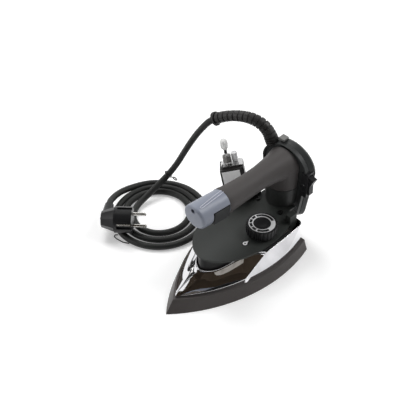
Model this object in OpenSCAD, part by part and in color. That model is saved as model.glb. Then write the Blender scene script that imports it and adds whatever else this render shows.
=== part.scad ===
// Gravity feed steam iron on its soleplate, with its cord coiled beside it.
// Millimetres. The origin is in the bottom face, halfway along the sole; the tip points to -Y.

/* [Soleplate] */
// Length from the tip to the heel
sole_l = 210; // [175:1:252]
// Greatest width of the bottom face
sole_w = 122; // [101:1:147]
// Thickness of the casting
sole_t = 17.5; // [14.5:0.5:21]
// Distance from the heel to the widest place
sole_wide_back = 57; // [48:1:68]
// How far the top edge stands back at the tip
tip_setback = 13; // [10:1:15]
// How far the top edge stands in on each side
side_setback = 3.8; // [3:0.2:4.6]
// Diameter of the steam holes
vent_d = 3.2; // [2.6:0.2:3.8]

/* [Heating] */
// Diameter of the heating tube
element_d = 7; // [5.8:0.2:8.4]
// Height of the heating tube's axis above the bottom face
element_z = 10.5; // [9:0.5:12]
// Thickness of the steam chamber's cover
chamber_t = 3; // [2.5:0.5:3.6]
// Thickness of the chamber's gasket
gasket_t = 0.8; // [0.6:0.1:1]
// Diameter of the chamber screws
screw_d = 4; // [3.3:0.1:4.8]

/* [Cover] */
// Thickness of the bright cover's sheet
sheet_t = 1; // [0.8:0.1:1.2]
// Height of the cover from the sole to its rim
cover_h = 38.4; // [32:0.4:46.4]
// Height of the cover's top edge at its front
cover_front_h = 19; // [16:1:23]
// How far the cover's foot stands in from the sole's top edge
cover_inset = 3.5; // [3:0.5:4.2]
// How far the cover's rim stands outside the deck
rim_out = 3; // [2.5:0.5:3.6]

/* [Deck] */
// Greatest width of the deck
deck_w = 97; // [81:1:104]
// Thickness of the deck
deck_t = 2.8; // [2.4:0.2:3.4]
// Length of the deck in front of its widest place
deck_front = 85; // [80:1:90]
// Length that the deck's rear curve would have
deck_rear = 75; // [70:1:80]
// Wall of the black neck between the cover and the deck
neck_wall = 3; // [2.5:0.5:3.6]

/* [Dial] */
// Diameter of the thermostat knob
dial_d = 40.5; // [34:0.5:46]
// Height of the thermostat knob
dial_h = 12; // [10:0.5:14]
// Outer diameter of the bright ring on the knob
ring_d = 34; // [28.5:0.5:34]
// Inner diameter of the bright ring
ring_in_d = 22.5; // [19:0.5:26]
// Diameter of the thermostat's shaft
shaft_d = 6; // [5:0.2:7.2]

/* [Handle] */
// Radius of the handle at the nose
nose_r = 16.7; // [15.5:0.1:18]
// Length of the nose cap
nose_l = 51.5; // [46:0.5:60]
// How far the nose points up, in degrees
nose_up = 6.7; // [5:0.1:8]
// Wall of the handle's shells
shell_t = 2.4; // [2:0.1:2.9]
// Height of the grip's axis above the deck at the nose
grip_z = 66.1; // [60:0.5:79.5]
// Radius of the rear post's foot
post_r = 21; // [19.5:0.5:22.5]
// Height of the rear post's foot piece
post_h = 29; // [24:1:35]

/* [Rear cover] */
// Thickness of the rear flange
flange_t = 6.5; // [5.5:0.5:7.5]
// Depth of the rear cover behind the flange
cover_d = 9.5; // [8.5:0.5:11]
// Wall of the rear cover
cover_wall = 2.4; // [2:0.1:2.8]
// Length of the rocker
rocker_l = 28; // [24:1:30]

/* [Steam valve] */
// How far the valve leans outward, in degrees
valve_lean = 16; // [14:0.5:19]
// Width of the valve's coil
coil_w = 28; // [24:1:31]
// Height of the valve's coil
coil_h = 29; // [25:1:34]
// Outer diameter of the valve's core tube
core_d = 10; // [9:0.2:11]
// Travel of the valve's plunger
plunger_travel = 2; // [1.6:0.2:2.4]

/* [Cord and plug] */
// Diameter of the cord
cord_d = 9; // [8:0.1:9.2]
// Outer diameter of the strain relief's ribs at its free end
relief_d = 12.8; // [11:0.2:14]
// Number of ribs on the strain relief
relief_ribs = 13; // [9:1:16]
// Turns in the cord's coil
coil_turns = 2.6; // [2.2:0.1:2.6]
// Diameter of the plug's body
plug_d = 36; // [33:0.5:37]
// Diameter of the plug's pins
plug_pin_d = 4.8; // [4:0.1:5]

/* [Hidden] */
$fn = 48;

// Clearances
fit = 0.05;
gap = 0.3;
skin_t = 0.01;

// Soleplate
tip_y = -sole_l / 2;
heel_y = sole_l / 2;
wide_y = heel_y - sole_wide_back;
top_tip_y = tip_y + tip_setback;
top_heel_y = heel_y - 2.5;
top_half = sole_w / 2 - side_setback;
outline_steps = 24;

// Heating element and steam chamber
bend_r = 9;
bend_y = tip_y + 44;
riser_x = sole_w / 2 - 21;
riser_y = heel_y - 35;
riser_top = sole_t + 9;
riser_bend = 7;
leg_angle = atan2(riser_x, riser_y - bend_y) - asin(bend_r / norm([riser_x, riser_y - bend_y]));
leg_l = sqrt(riser_x^2 + (riser_y - bend_y)^2 - bend_r^2);
groove_d = element_d + 0.2;
pocket_tip_y = tip_y + 59;
pocket_end_y = heel_y - 61;
pocket_half = riser_x - 16;
pocket_floor = 6;
chamber_tip_y = tip_y + 30;
chamber_end_y = heel_y - 43;
chamber_half = sole_w / 2 - 15;
chamber_z = sole_t + gasket_t;
chamber_top = chamber_z + chamber_t;
screw_rows = [tip_y + 75, tip_y + 111, tip_y + 147];
screw_in = 5;
screw_deep = 10;
vent_rows = 8;

// Cover and deck
deck_y = heel_y - 105;
rim_z = sole_t + cover_h;
deck_z = rim_z + gap;
deck_top = deck_z + deck_t;
deck_mid_y = 40;
deck_half = deck_w / 2;
tongue_half = 25.5;
tongue_y = 107.5;
base_tip_y = top_tip_y + 4;
base_heel_y = top_heel_y - 4;
base_half = top_half - cover_inset;
band_h = 7.5;
band_tip_h = 3;
front_y = -46;
front_pull = [32, -36];
waist_pull = [16, 8];
crease = [deck_half + rim_out, 20];
crease_base_y = base_tip_y + 79;
rim_side_half = deck_half + rim_out + 1;
rim_heel_y = 93;
rim_corner_y = 86;
cove_steps = 10;
side_steps = 6;
corner_steps = 4;
heel_steps = 2;
cove_levels = 8;

// Neck, studs and what stands between the sole and the deck
neck_z = sole_t + 12.5;
neck_gap = sheet_t + 0.9;
stud_x = 20;
stud_y = 84;
front_stud_y = -25;
stud_af = 8;
insulation_t = 1.5;

// Dial and thermostat
dial_at = [25.5, 41];
dial_lift = 3;
thermostat_d = 20;
thermostat_h = 15;
pointer_at = [25, 10.5];

// Handle, in heights above the deck
grip_y = -3;
post_y = 109;
head_y = 110.8;
head_r = 24.5;
neck_r = 23;
bolt_x = 12;
bolt_y = 101;
bolt_d = 4;
inner_r = nose_r - shell_t;
face_lean = 11;
nose_hole_z = 10.5;

// Lever, in the nose's own frame
lever_y = [-32, -6];
lever_z = [-11, 5.8];
lever_face = 16.2;
lever_back = 11;
lever_pin_at = [8.5, -8];
lever_pin_d = 2.4;
lever_gap = 0.5;
switch_face = 2;
button_y = -27;
peg_x = 4.1;

// Rear flange and cover
flange_y = 109.5;
flange_recess = 3;
rear_y = flange_y + flange_t;
back_y = rear_y + cover_d;
arch_z = 52;
arch_half = 36.5;
arch_h = 32;
foot_r = 14.5;
foot_x = 13.5;
foot_z = -11.5;
foot_turn = 7.5;
cover_rise = 2.4;

// Rocker switch, on the +X wall
switch_z = 40;
rocker_w = 8;
rocker_at = [33.8, 40];
frame_x = [28.8, 39];
frame_y = [flange_y + 0.4, back_y - cover_wall];
frame_half = rocker_l / 2 + 5;

// Valve, in its own leaning frame
valve_at = [-44.4, 66.7];
coil_z = 19;
coil_off = 2.5;
nut_z = coil_z + coil_h + 5.7;
plunger_z = 12.1;
plunger_l = 12;
bore_top = coil_z + coil_h - 4.5;
knob_at = [9.6, 4.5];

// Strain relief, a curve with four control points, and its start and end directions
relief_curve = [[-27.3, 112.5, 83.9], [-39, 107.7, 116.1], [-81, 97, 102.2], [-103.1, 87.5, 85.6]];
relief_start = unit(relief_curve[1] - relief_curve[0]);
relief_end = unit(relief_curve[3] - relief_curve[2]);
relief_swell = 2.4;
relief_flare = 4;
relief_slit = 1.2;

// Cord: its route down to the table, and its growing coil there
cord_r = cord_d / 2;
coil_at = [-138.5, 13];
coil_start = 285;
coil_rings = 24;
stretch_route = [[-111.4, 83.7, 136.7], [-120.6, 80.7, 123.2], [-129.6, 77.5, 107.6],
    [-138.2, 74.3, 90.4], [-146.2, 71.4, 73.1], [-153.6, 68.3, 56.4], [-160.2, 64.2, 42.2],
    [-165.4, 58, 30.8], [-168.6, 49, 22.6], [-170, 38, 17.2], [-170.7, 26, 12.3], [-170.7, 12, 8],
    [-169.6, 1.5, 5.7], [-166, -7.6, 4.6], [-160, -15.6, cord_r], [-152.2, -21.8, cord_r],
    [-143.9, -25.4, cord_r], [-135.8, -26.8, cord_r]];
lead_route = [[-192.7, 45.6, 4.8], [-199, 31, 6.3], [-202, 14.5, 9], [-201.4, -1, 12.6],
    [-197.6, -15, 16.6], [-191.4, -28, 20.4]];

// Plug, lying on the coil
plug_at = [-152, -54.5, 27.4];
plug_turn = 42;
plug_roll = -10;
plug_front = 24;
plug_back = 18;
plug_pin_l = 19;
plug_pin_gap = 19;
entry_l = 32;

function unit(v) = v / norm(v);

// Half width at y of an outline made of one arc on each side
function arc_half(y, tip, wide, half) =
    let (r = ((wide - tip)^2 + half^2) / (2 * half))
    half - r + sqrt(r^2 - (y - wide)^2);

// The whole outline from the tip along +X to the heel and back
function arc_outline(tip, heel, wide, half) = concat(
    [for (i = [0:outline_steps])
        let (y = tip + (heel - tip) * i / outline_steps) [arc_half(y, tip, wide, half), y]],
    [for (i = [outline_steps:-1:1])
        let (y = tip + (heel - tip) * i / outline_steps) [-arc_half(y, tip, wide, half), y]]);

function bezier(p, t) =
    (1 - t)^3 * p[0] + 3 * (1 - t)^2 * t * p[1] + 3 * (1 - t) * t^2 * p[2] + t^3 * p[3];

// A closed solid through rings of equal point counts
module skin(rings) {
    n = len(rings[0]);
    last = (len(rings) - 1) * n;
    points = [for (ring = rings) each ring];
    faces = concat(
        [for (k = [1:n - 2]) [0, k + 1, k]],
        [for (i = [0:len(rings) - 2], k = [0:n - 1]) [i * n + k, i * n + (k + 1) % n, (i + 1) * n + k]],
        [for (i = [0:len(rings) - 2], k = [0:n - 1])
            [(i + 1) * n + k, i * n + (k + 1) % n, (i + 1) * n + (k + 1) % n]],
        [for (k = [1:n - 2]) [last, last + k, last + k + 1]]);
    polyhedron(points, faces, convexity = 8);
}

// Directions along a path: each point takes the middle of its two runs
function path_dirs(path) = [for (i = [0:len(path) - 1])
    unit((i == 0 ? unit(path[1] - path[0]) : unit(path[i] - path[i - 1]))
        + (i == len(path) - 1 ? unit(path[i] - path[i - 1]) : unit(path[i + 1] - path[i])))];

// A ring square to the direction d, with its sides kept level with the given side vector
function ring_at(p, d, r, sides, side, turn = 0) =
    let (v = unit(cross(d, side)), u = cross(v, d))
    [for (k = [0:sides - 1]) let (a = turn + 360 * k / sides) p + r * (cos(a) * u - sin(a) * v)];

module tube(path, r, sides, side) {
    dirs = path_dirs(path);
    skin([for (i = [0:len(path) - 1]) ring_at(path[i], dirs[i], r, sides, side)]);
}

module on_deck() translate([0, deck_y, deck_top]) children();
module in_deck_xy(z) translate([0, deck_y, z]) children();
module in_nose() on_deck() translate([0, grip_y, grip_z]) rotate([-nose_up, 0, 0]) children();
module in_valve() on_deck() translate([valve_at[0], valve_at[1], 0]) rotate([0, -valve_lean, 0])
    rotate(45) children();
module in_plug() translate(plug_at) rotate([0, 0, plug_turn]) children();
module both_sides() {
    children();
    mirror([1, 0, 0]) children();
}

// The heating tube's route: a V with a round tip, and a turn up at both ends
leg_foot = [bend_r * cos(leg_angle), bend_y - bend_r * sin(leg_angle), element_z];
leg_dir = [sin(leg_angle), cos(leg_angle), 0];
tip_arc = [for (a = [leg_angle + 15:15:80]) [bend_r * cos(a), bend_y - bend_r * sin(a), element_z]];
function both_halves(half) = concat(half, [[0, bend_y - bend_r, element_z]],
    [for (i = [len(half) - 1:-1:0]) [-half[i][0], half[i][1], half[i][2]]]);
element_route = both_halves(concat(
    [[riser_x, riser_y, riser_top], [riser_x, riser_y, element_z + riser_bend]],
    [for (a = [20:20:80]) leg_foot + (leg_l - riser_bend * (1 - cos(a))) * leg_dir
        + [0, 0, riser_bend * (1 - sin(a))]],
    [leg_foot + (leg_l - riser_bend) * leg_dir, leg_foot], tip_arc));
groove_route = both_halves(concat([leg_foot + (leg_l + groove_d / 2) * leg_dir, leg_foot], tip_arc));

// Square slot for the heating tube, open at the top
module element_groove() {
    dirs = path_dirs(groove_route);
    last = len(groove_route) - 1;
    half = groove_d / 2;
    translate([0, 0, element_z - half]) linear_extrude(sole_t) polygon(concat(
        [for (i = [0:last]) [groove_route[i][0] - half * dirs[i][1], groove_route[i][1] + half * dirs[i][0]]],
        [for (i = [last:-1:0]) [groove_route[i][0] + half * dirs[i][1], groove_route[i][1] - half * dirs[i][0]]]));
}

// Where the chamber's screws go down
module at_chamber_screws() {
    for (y = screw_rows, side = [-1, 1])
        translate([side * (arc_half(y, chamber_tip_y, wide_y, chamber_half) - screw_in), y, 0]) children();
}

module at_studs() {
    in_deck_xy(0) for (side = [-1, 1]) translate([side * stud_x, stud_y, 0]) children();
}

module soleplate() color([0.32, 0.3, 0.3]) difference() {
    hull() {
        linear_extrude(skin_t) polygon(arc_outline(tip_y, heel_y, wide_y, sole_w / 2));
        translate([0, 0, sole_t - skin_t]) linear_extrude(skin_t)
            polygon(arc_outline(top_tip_y, top_heel_y, wide_y, top_half));
    }
    element_groove();
    translate([0, 0, pocket_floor]) linear_extrude(sole_t) polygon([[0, pocket_tip_y],
        [pocket_half, pocket_end_y], [-pocket_half, pocket_end_y]]);
    for (i = [0:vent_rows - 1]) let (s = (i + 1) / (vent_rows + 1))
        both_sides() translate([s * pocket_half - 3.4 * s,
            pocket_tip_y + s * (pocket_end_y - pocket_tip_y) + 3, -1])
            cylinder(d = vent_d, h = pocket_floor + 2, $fn = 24);
    at_chamber_screws() translate([0, 0, sole_t - screw_deep])
        cylinder(d = screw_d + 2 * fit, h = screw_deep + 1);
    at_studs() translate([0, 0, sole_t - screw_deep]) cylinder(d = 5 + 2 * fit, h = screw_deep + 1);
}

module heating_element() color([0.35, 0.33, 0.31]) tube(element_route, element_d / 2, 12, [0.3, 0, 1]);

module element_terminals() color([0.75, 0.73, 0.68]) both_sides()
    translate([riser_x, riser_y, riser_top]) {
        cylinder(d = 3, h = 2.4);
        translate([-0.4, -3, 0.4]) cube([0.8, 6, 2.2]);
    }

module chamber_plate_outline(grow = 0) polygon(arc_outline(chamber_tip_y - grow,
    chamber_end_y + grow, wide_y, chamber_half + grow));

module chamber_holes(z, h) {
    at_chamber_screws() translate([0, 0, z]) cylinder(d = screw_d + 2 * fit, h = h);
    in_deck_xy(z) translate([0, front_stud_y, 0]) cylinder(d = 5 + 2 * fit, h = h);
    translate([-pocket_half / 2, pocket_end_y - 12, z]) cylinder(d = 4, h = h);
}

module chamber_gasket() color([0.55, 0.3, 0.22]) translate([0, 0, sole_t]) difference() {
    linear_extrude(gasket_t) difference() {
        chamber_plate_outline();
        polygon([[0, pocket_tip_y], [pocket_half, pocket_end_y], [-pocket_half, pocket_end_y]]);
    }
    chamber_holes(-1, gasket_t + 2);
}

module chamber_cover() color([0.7, 0.7, 0.7]) translate([0, 0, chamber_z]) difference() {
    linear_extrude(chamber_t) chamber_plate_outline();
    chamber_holes(-1, chamber_t + 2);
}

module chamber_screws() color([0.75, 0.75, 0.76]) at_chamber_screws()
    translate([0, 0, chamber_top]) difference() {
        union() {
            cylinder(d = 1.75 * screw_d, h = 2.5);
            translate([0, 0, -screw_deep]) cylinder(d = screw_d, h = screw_deep);
        }
        translate([0, 0, 1.2]) cylinder(d = 3.4, h = 2, $fn = 6);
    }

// Hexagonal pillars that carry the deck: two from the sole, one from the chamber's cover
module deck_studs() color([0.72, 0.68, 0.6]) {
    at_studs() difference() {
        union() {
            translate([0, 0, sole_t]) cylinder(d = stud_af / cos(30), h = deck_z - sole_t, $fn = 6);
            translate([0, 0, sole_t - 8]) cylinder(d = 5, h = 9);
        }
        translate([0, 0, deck_z - 12]) cylinder(d = screw_d + 2 * fit, h = 13);
    }
    in_deck_xy(0) translate([0, front_stud_y, 0]) {
        translate([0, 0, chamber_top]) cylinder(d = stud_af / cos(30), h = deck_z - chamber_top, $fn = 6);
        translate([0, 0, chamber_z + 0.2]) cylinder(d = 5, h = chamber_t);
    }
}

// One half of the bright cover as stations, each with its foot point, its top point and how
// much its profile curves: above 1 it is hollow, below 1 it is full
function front_edge(t) = bezier([[0, front_y + deck_y, sole_t + cover_front_h],
    [front_pull[0], front_pull[1] + deck_y, sole_t + cover_front_h],
    [waist_pull[0], waist_pull[1] + deck_y, sole_t + cover_front_h + 8],
    [crease[0], crease[1] + deck_y, rim_z]], t);
function foot_at(y) = [arc_half(y, base_tip_y, wide_y, base_half), y, sole_t];
function rim_half(y) = rim_side_half - ((y - deck_mid_y - deck_y) / 60)^2 * 2;
function cove_station(u) = [foot_at(base_tip_y + u * (crease_base_y - base_tip_y)),
    front_edge(u), u < 0.05 ? 0.65 : min(2.2, 1.1 + 9 * u), band_tip_h + u * (band_h - band_tip_h)];
function side_station(v) =
    let (y = crease[1] + deck_y + v * (rim_corner_y - crease[1]))
    [foot_at(crease_base_y + v * (base_heel_y - 6 - crease_base_y)), [rim_half(y), y, rim_z], 1, band_h];
function corner_station(w) =
    let (foot = foot_at(base_heel_y - 6), y = rim_corner_y + deck_y, half = rim_half(y))
    [[foot[0] - 6 * (1 - cos(90 * w)), foot[1] + 6 * sin(90 * w), sole_t],
        [half - 7 * (1 - cos(90 * w)), y + (rim_heel_y - rim_corner_y) * sin(90 * w), rim_z], 1, band_h];
function heel_station(h) = let (c = corner_station(1))
    [[c[0][0] * (1 - h), c[0][1], sole_t], [c[1][0] * (1 - h), c[1][1], rim_z], 1, band_h];
half_stations = concat([for (i = [0:cove_steps]) cove_station(i / cove_steps)],
    [for (i = [1:side_steps]) side_station(i / side_steps)],
    [for (i = [1:corner_steps]) corner_station(i / corner_steps)],
    [for (i = [1:heel_steps]) heel_station(i / heel_steps)]);
function flip(s) = [[-s[0][0], s[0][1], s[0][2]], [-s[1][0], s[1][1], s[1][2]], s[2], s[3]];
cover_stations = concat(half_stations, [for (i = [len(half_stations) - 2:-1:1]) flip(half_stations[i])]);
function cover_point(i, j) =
    let (s = cover_stations[(i + len(cover_stations)) % len(cover_stations)])
    j == 0 ? s[0] : let (q = (j - 1) / cove_levels, low = s[0][2] + s[3])
    [s[0][0] + q * (s[1][0] - s[0][0]), s[0][1] + q * (s[1][1] - s[0][1]),
        low + (s[1][2] - low) * q^s[2]];
function cover_normal(i, j) =
    let (along = cover_point(i + 1, j) - cover_point(i - 1, j),
        up = cover_point(i, min(j + 1, cove_levels + 1)) - cover_point(i, max(j - 1, 0)))
    unit(cross(along, up));
function cover_inner(i, j) =
    let (n = cover_normal(i, j), level = j == 0 || j == cove_levels + 1,
        flat = level ? unit([n[0], n[1], 0]) : n)
    cover_point(i, j) - sheet_t * flat;

module base_cover() {
    n = len(cover_stations);
    rows = cove_levels + 2;
    outer = [for (j = [0:rows - 1], i = [0:n - 1]) cover_point(i, j)];
    inner = [for (j = [0:rows - 1], i = [0:n - 1]) cover_inner(i, j)];
    m = n * rows;
    faces = concat(
        [for (j = [0:rows - 2], i = [0:n - 1]) let (k = (i + 1) % n) [j * n + i, j * n + n + i, j * n + k]],
        [for (j = [0:rows - 2], i = [0:n - 1]) let (k = (i + 1) % n)
            [j * n + n + i, j * n + n + k, j * n + k]],
        [for (j = [0:rows - 2], i = [0:n - 1]) let (k = (i + 1) % n)
            [m + j * n + i, m + j * n + k, m + j * n + n + i]],
        [for (j = [0:rows - 2], i = [0:n - 1]) let (k = (i + 1) % n)
            [m + j * n + n + i, m + j * n + k, m + j * n + n + k]],
        [for (i = [0:n - 1]) let (k = (i + 1) % n) [i, k, m + i]],
        [for (i = [0:n - 1]) let (k = (i + 1) % n) [m + i, k, m + k]],
        [for (i = [0:n - 1]) let (k = (i + 1) % n, t = (rows - 1) * n) [t + i, m + t + i, t + k]],
        [for (i = [0:n - 1]) let (k = (i + 1) % n, t = (rows - 1) * n) [m + t + i, m + t + k, t + k]]);
    color([0.85, 0.85, 0.88]) polyhedron(concat(outer, inner), faces, convexity = 10);
}

// The neck's outline in plan follows the cover's top edge
neck_outline = concat([for (i = [0:12]) let (p = front_edge(i / 12)) [p[0], p[1]]],
    [for (i = [1:5]) let (p = side_station(i / 6)[1]) [p[0], p[1]]]);
module neck_shape(inset) offset(delta = -inset) polygon(concat(neck_outline,
    [for (i = [len(neck_outline) - 1:-1:1]) [-neck_outline[i][0], neck_outline[i][1]]]));

module neck_spacer() color([0.06, 0.06, 0.06]) translate([0, 0, neck_z]) linear_extrude(deck_z - neck_z)
    difference() {
        neck_shape(neck_gap);
        neck_shape(neck_gap + neck_wall);
    }

module insulation_sheet() color([0.8, 0.74, 0.6]) translate([0, 0, deck_z - insulation_t]) difference() {
    linear_extrude(insulation_t) neck_shape(neck_gap + neck_wall + gap);
    at_studs() cylinder(d = stud_af + 3, h = 9, center = true);
    in_deck_xy(0) {
        translate([0, front_stud_y, 0]) cylinder(d = stud_af + 3, h = 9, center = true);
        translate([dial_at[0], dial_at[1], 0]) cylinder(d = shaft_d + 4, h = 9, center = true);
        translate([valve_at[0] + 4, valve_at[1] - 3, 0]) cylinder(d = 9, h = 9, center = true);
    }
}

deck_outline = concat(
    [for (a = [-90:6:0]) [deck_half * cos(a), deck_mid_y + deck_front * sin(a)]],
    [for (a = [6:6:48]) [deck_half * cos(a), deck_mid_y + deck_rear * sin(a)]]);

module body_plate() color([0.1, 0.11, 0.11]) on_deck() difference() {
    union() {
        translate([0, 0, -deck_t]) linear_extrude(deck_t) {
            polygon(concat(deck_outline,
                [for (i = [len(deck_outline) - 1:-1:1]) [-deck_outline[i][0], deck_outline[i][1]]]));
            translate([-tongue_half, 80]) square([2 * tongue_half, tongue_y - 80]);
        }
        both_sides() for (z = [-12, 0.6]) translate([35, 76, z]) cube([8, 13, 11.4]);
        both_sides() translate([36, 77, -2]) cube([6, 11, 4]);
    }
    translate([dial_at[0], dial_at[1], -9]) cylinder(d = shaft_d + 2 * fit, h = 18);
    for (side = [-1, 1]) translate([side * stud_x, stud_y, -9]) cylinder(d = screw_d + 2 * fit, h = 18);
    for (side = [-1, 1]) translate([side * bolt_x, bolt_y, -9]) cylinder(d = bolt_d + 2 * fit, h = 18);
    translate([valve_at[0] + 4, valve_at[1] - 3, -9]) cylinder(d = 6 + 2 * fit, h = 18);
}

module deck_screws() color([0.05, 0.05, 0.05]) on_deck() for (side = [-1, 1])
    translate([side * stud_x, stud_y, 0]) difference() {
        union() {
            cylinder(d = 7.5, h = 2);
            translate([0, 0, -deck_t - 10]) cylinder(d = screw_d, h = deck_t + 10);
        }
        translate([0, 0, 0.8]) cylinder(d = 4, h = 2, $fn = 6);
    }

thermostat_z = chamber_top;
module thermostat() color([0.9, 0.87, 0.8]) in_deck_xy(thermostat_z)
    translate([dial_at[0], dial_at[1], 0]) difference() {
        union() {
            cylinder(d = thermostat_d, h = 6);
            cylinder(d = 12, h = thermostat_h);
        }
        translate([0, 0, thermostat_h - 5]) cylinder(d = shaft_d + 2 * fit, h = 6);
    }

module thermostat_shaft() color([0.7, 0.7, 0.72]) {
    foot = thermostat_z + thermostat_h - 4.8;
    translate([dial_at[0], dial_at[1] + deck_y, foot])
        cylinder(d = shaft_d, h = deck_top + dial_lift + dial_h - 3 - foot);
}

module thermal_cutout() color([0.2, 0.2, 0.22]) translate([-pocket_half * 0.75, pocket_end_y - 38, chamber_top]) {
    cylinder(d = 12, h = 5);
    for (x = [-3, 3]) translate([x - 0.4, -2, 5]) cube([0.8, 4, 4]);
}

// The knob: a knurled cap on a hub, hollow below, with a seat for the ring
module dial_knob() color([0.05, 0.05, 0.05]) on_deck() translate([dial_at[0], dial_at[1], dial_lift])
    difference() {
        cylinder(d = dial_d, h = dial_h, $fn = 72);
        for (a = [0:15:345]) rotate(a) translate([dial_d / 2 + 0.6, 0, -1])
            cylinder(d = 3.2, h = dial_h + 2, $fn = 20);
        translate([0, 0, -1]) difference() {
            cylinder(d = dial_d - 8, h = dial_h - 3);
            cylinder(d = shaft_d + 6, h = dial_h);
        }
        translate([0, 0, dial_h - 1]) difference() {
            cylinder(d = ring_d, h = 2);
            translate([0, 0, -1]) cylinder(d = ring_in_d, h = 4);
        }
        translate([0, 0, -1]) cylinder(d = shaft_d + 2 * fit, h = dial_h - 2);
        translate([0, 0, dial_h + 30.2]) sphere(r = 31, $fn = 96);
    }

module dial_ring() color([0.8, 0.8, 0.82]) on_deck()
    translate([dial_at[0], dial_at[1], dial_lift + dial_h - 1]) difference() {
        cylinder(d = ring_d - 2 * fit, h = 1.2);
        translate([0, 0, -1]) cylinder(d = ring_in_d + 2 * fit, h = 4);
    }

module dial_pointer() color([0.9, 0.9, 0.9]) on_deck() translate([pointer_at[0], pointer_at[1], 0])
    difference() {
        union() {
            cylinder(r = 2.9, h = 0.6);
            linear_extrude(0.6) polygon([[-2.8, 0], [0, 6.4], [2.8, 0]]);
        }
        translate([0, 0, -1]) cylinder(r = 1.3, h = 3);
    }

// Rear post's foot: a shell that widens upward, open at the top and behind
module post_body(inset, z) {
    r = post_r - inset;
    translate([0, post_y, z]) cylinder(r1 = r, r2 = r + neck_r - post_r, h = post_h - z + (z > 0 ? 1 : 0));
}

module behind_cut(y) translate([-90, y, -60]) cube([180, 60, 240]);

module handle_post() color([0.12, 0.12, 0.12]) on_deck() difference() {
    post_body(0, 0);
    difference() {
        post_body(shell_t, 5);
        for (side = [-1, 1]) translate([side * bolt_x, bolt_y, 0]) cylinder(r = 4.5, h = 24);
    }
    behind_cut(head_y);
    for (side = [-1, 1]) translate([side * bolt_x, bolt_y, -1])
        cylinder(d = bolt_d + 2 * fit, h = 21);
}

module handle_bolts() color([0.4, 0.4, 0.4]) on_deck() for (side = [-1, 1])
    translate([side * bolt_x, bolt_y, -deck_t]) {
        translate([0, 0, -3]) cylinder(d = 7, h = 3);
        cylinder(d = bolt_d, h = deck_t + 18);
    }

// The grip as rings along its length: y, height, half width, half height and tilt
grip_rows = [[grip_y, grip_z, nose_r, nose_r, -nose_up], [12, grip_z - 1.4, 16, 16, -4],
    [28, grip_z - 2.5, 15.3, 15.3, -1.5], [43, grip_z - 3.1, 15, 15, 0],
    [60, grip_z - 3.6, 15.2, 15.2, 0], [72, grip_z - 4.2, 16.2, 16.2, 0],
    [84, grip_z - 5, 17.8, 17.6, 0], [96, grip_z - 6, 20.4, 19.4, 0],
    [head_y, grip_z - 7.1, head_r, head_r - 2.5, 0]];
grip_sides = 36;

module grip_tube(inset, longer) {
    last = len(grip_rows) - 1;
    rings = [for (i = [0:last]) let (row = grip_rows[i], y = row[0] + (i == 0 ? -longer : i == last ? longer : 0))
        [for (k = [0:grip_sides - 1]) let (a = 360 * k / grip_sides, up = (row[3] - inset) * sin(a))
            [(row[2] - inset) * cos(a), y - up * sin(row[4]), row[1] + up * cos(row[4])]]];
    skin(rings);
}

module column_slice(r, z) translate([0, post_y, z]) linear_extrude(skin_t) circle(r = r);

module grip_column(inset, low) hull() {
    column_slice(neck_r - inset, post_h - low);
    column_slice(head_r - inset - 0.4, grip_z - 7.5);
}

module handle_grip() color([0.15, 0.15, 0.15]) on_deck() difference() {
    union() {
        grip_tube(0, 0);
        grip_column(0, 0);
    }
    behind_cut(head_y);
    grip_tube(shell_t, 0.5);
    grip_column(shell_t, 1);
}

// A cylinder along the nose's axis, from y0 forward to y1
module nose_rod(r, y0, y1) translate([0, y0, 0]) rotate([90, 0, 0]) cylinder(r = r, h = y0 - y1);

// The space in front of the slanted face, moved back by the wall that stays
module face_cut(back) translate([0, -nose_l + back, 0]) rotate([-face_lean, 0, 0])
    translate([-40, -60, -40]) cube([80, 60, 80]);

module nose_cap() color([0.55, 0.56, 0.68]) in_nose() difference() {
    union() {
        difference() {
            nose_rod(nose_r, 0, -nose_l - 5);
            face_cut(0);
            difference() {
                nose_rod(inner_r, 1, -nose_l - 5);
                face_cut(shell_t);
            }
        }
        difference() {
            union() {
                nose_rod(inner_r - 0.25, 4, -4);
                nose_rod(inner_r + 0.4, 0, -4);
            }
            nose_rod(inner_r - 1.8, 5, -6);
        }
        // Boss for the screw, seat for the switch and the lever's upper lug
        translate([0, 0, nose_hole_z]) nose_rod(4.1, -6, -nose_l + 3);
        difference() {
            union() {
                translate([-4, -31, -14.2]) cube([6, 20, 14.2 + lever_z[0] + 2.8]);
                translate([lever_pin_at[0] - 3, lever_pin_at[1] - 2.6, lever_z[1] + lever_gap])
                    cube([6, 5, 6]);
            }
            difference() {
                nose_rod(30, 5, -60);
                nose_rod(inner_r + 0.5, 6, -61);
            }
        }
    }
    translate([0, 0, nose_hole_z]) {
        nose_rod(1.55, 1, -nose_l - 8);
        nose_rod(3.1, -nose_l + 6, -nose_l - 8);
    }
    translate([8.4, lever_y[0] - 2, lever_z[0] - lever_gap])
        cube([20, lever_y[1] - lever_y[0] + 2.5, lever_z[1] - lever_z[0] + 2 * lever_gap]);
    translate([lever_pin_at[0], lever_pin_at[1], -20]) cylinder(d = lever_pin_d + 2 * fit, h = 40, $fn = 32);
}

module nose_screw() color([0.08, 0.08, 0.08]) in_nose() translate([0, 0, nose_hole_z]) {
    nose_rod(2.8, -nose_l + 5.8, -nose_l + 3.4);
    nose_rod(1.5, -1, -nose_l + 5.8);
}

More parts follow.
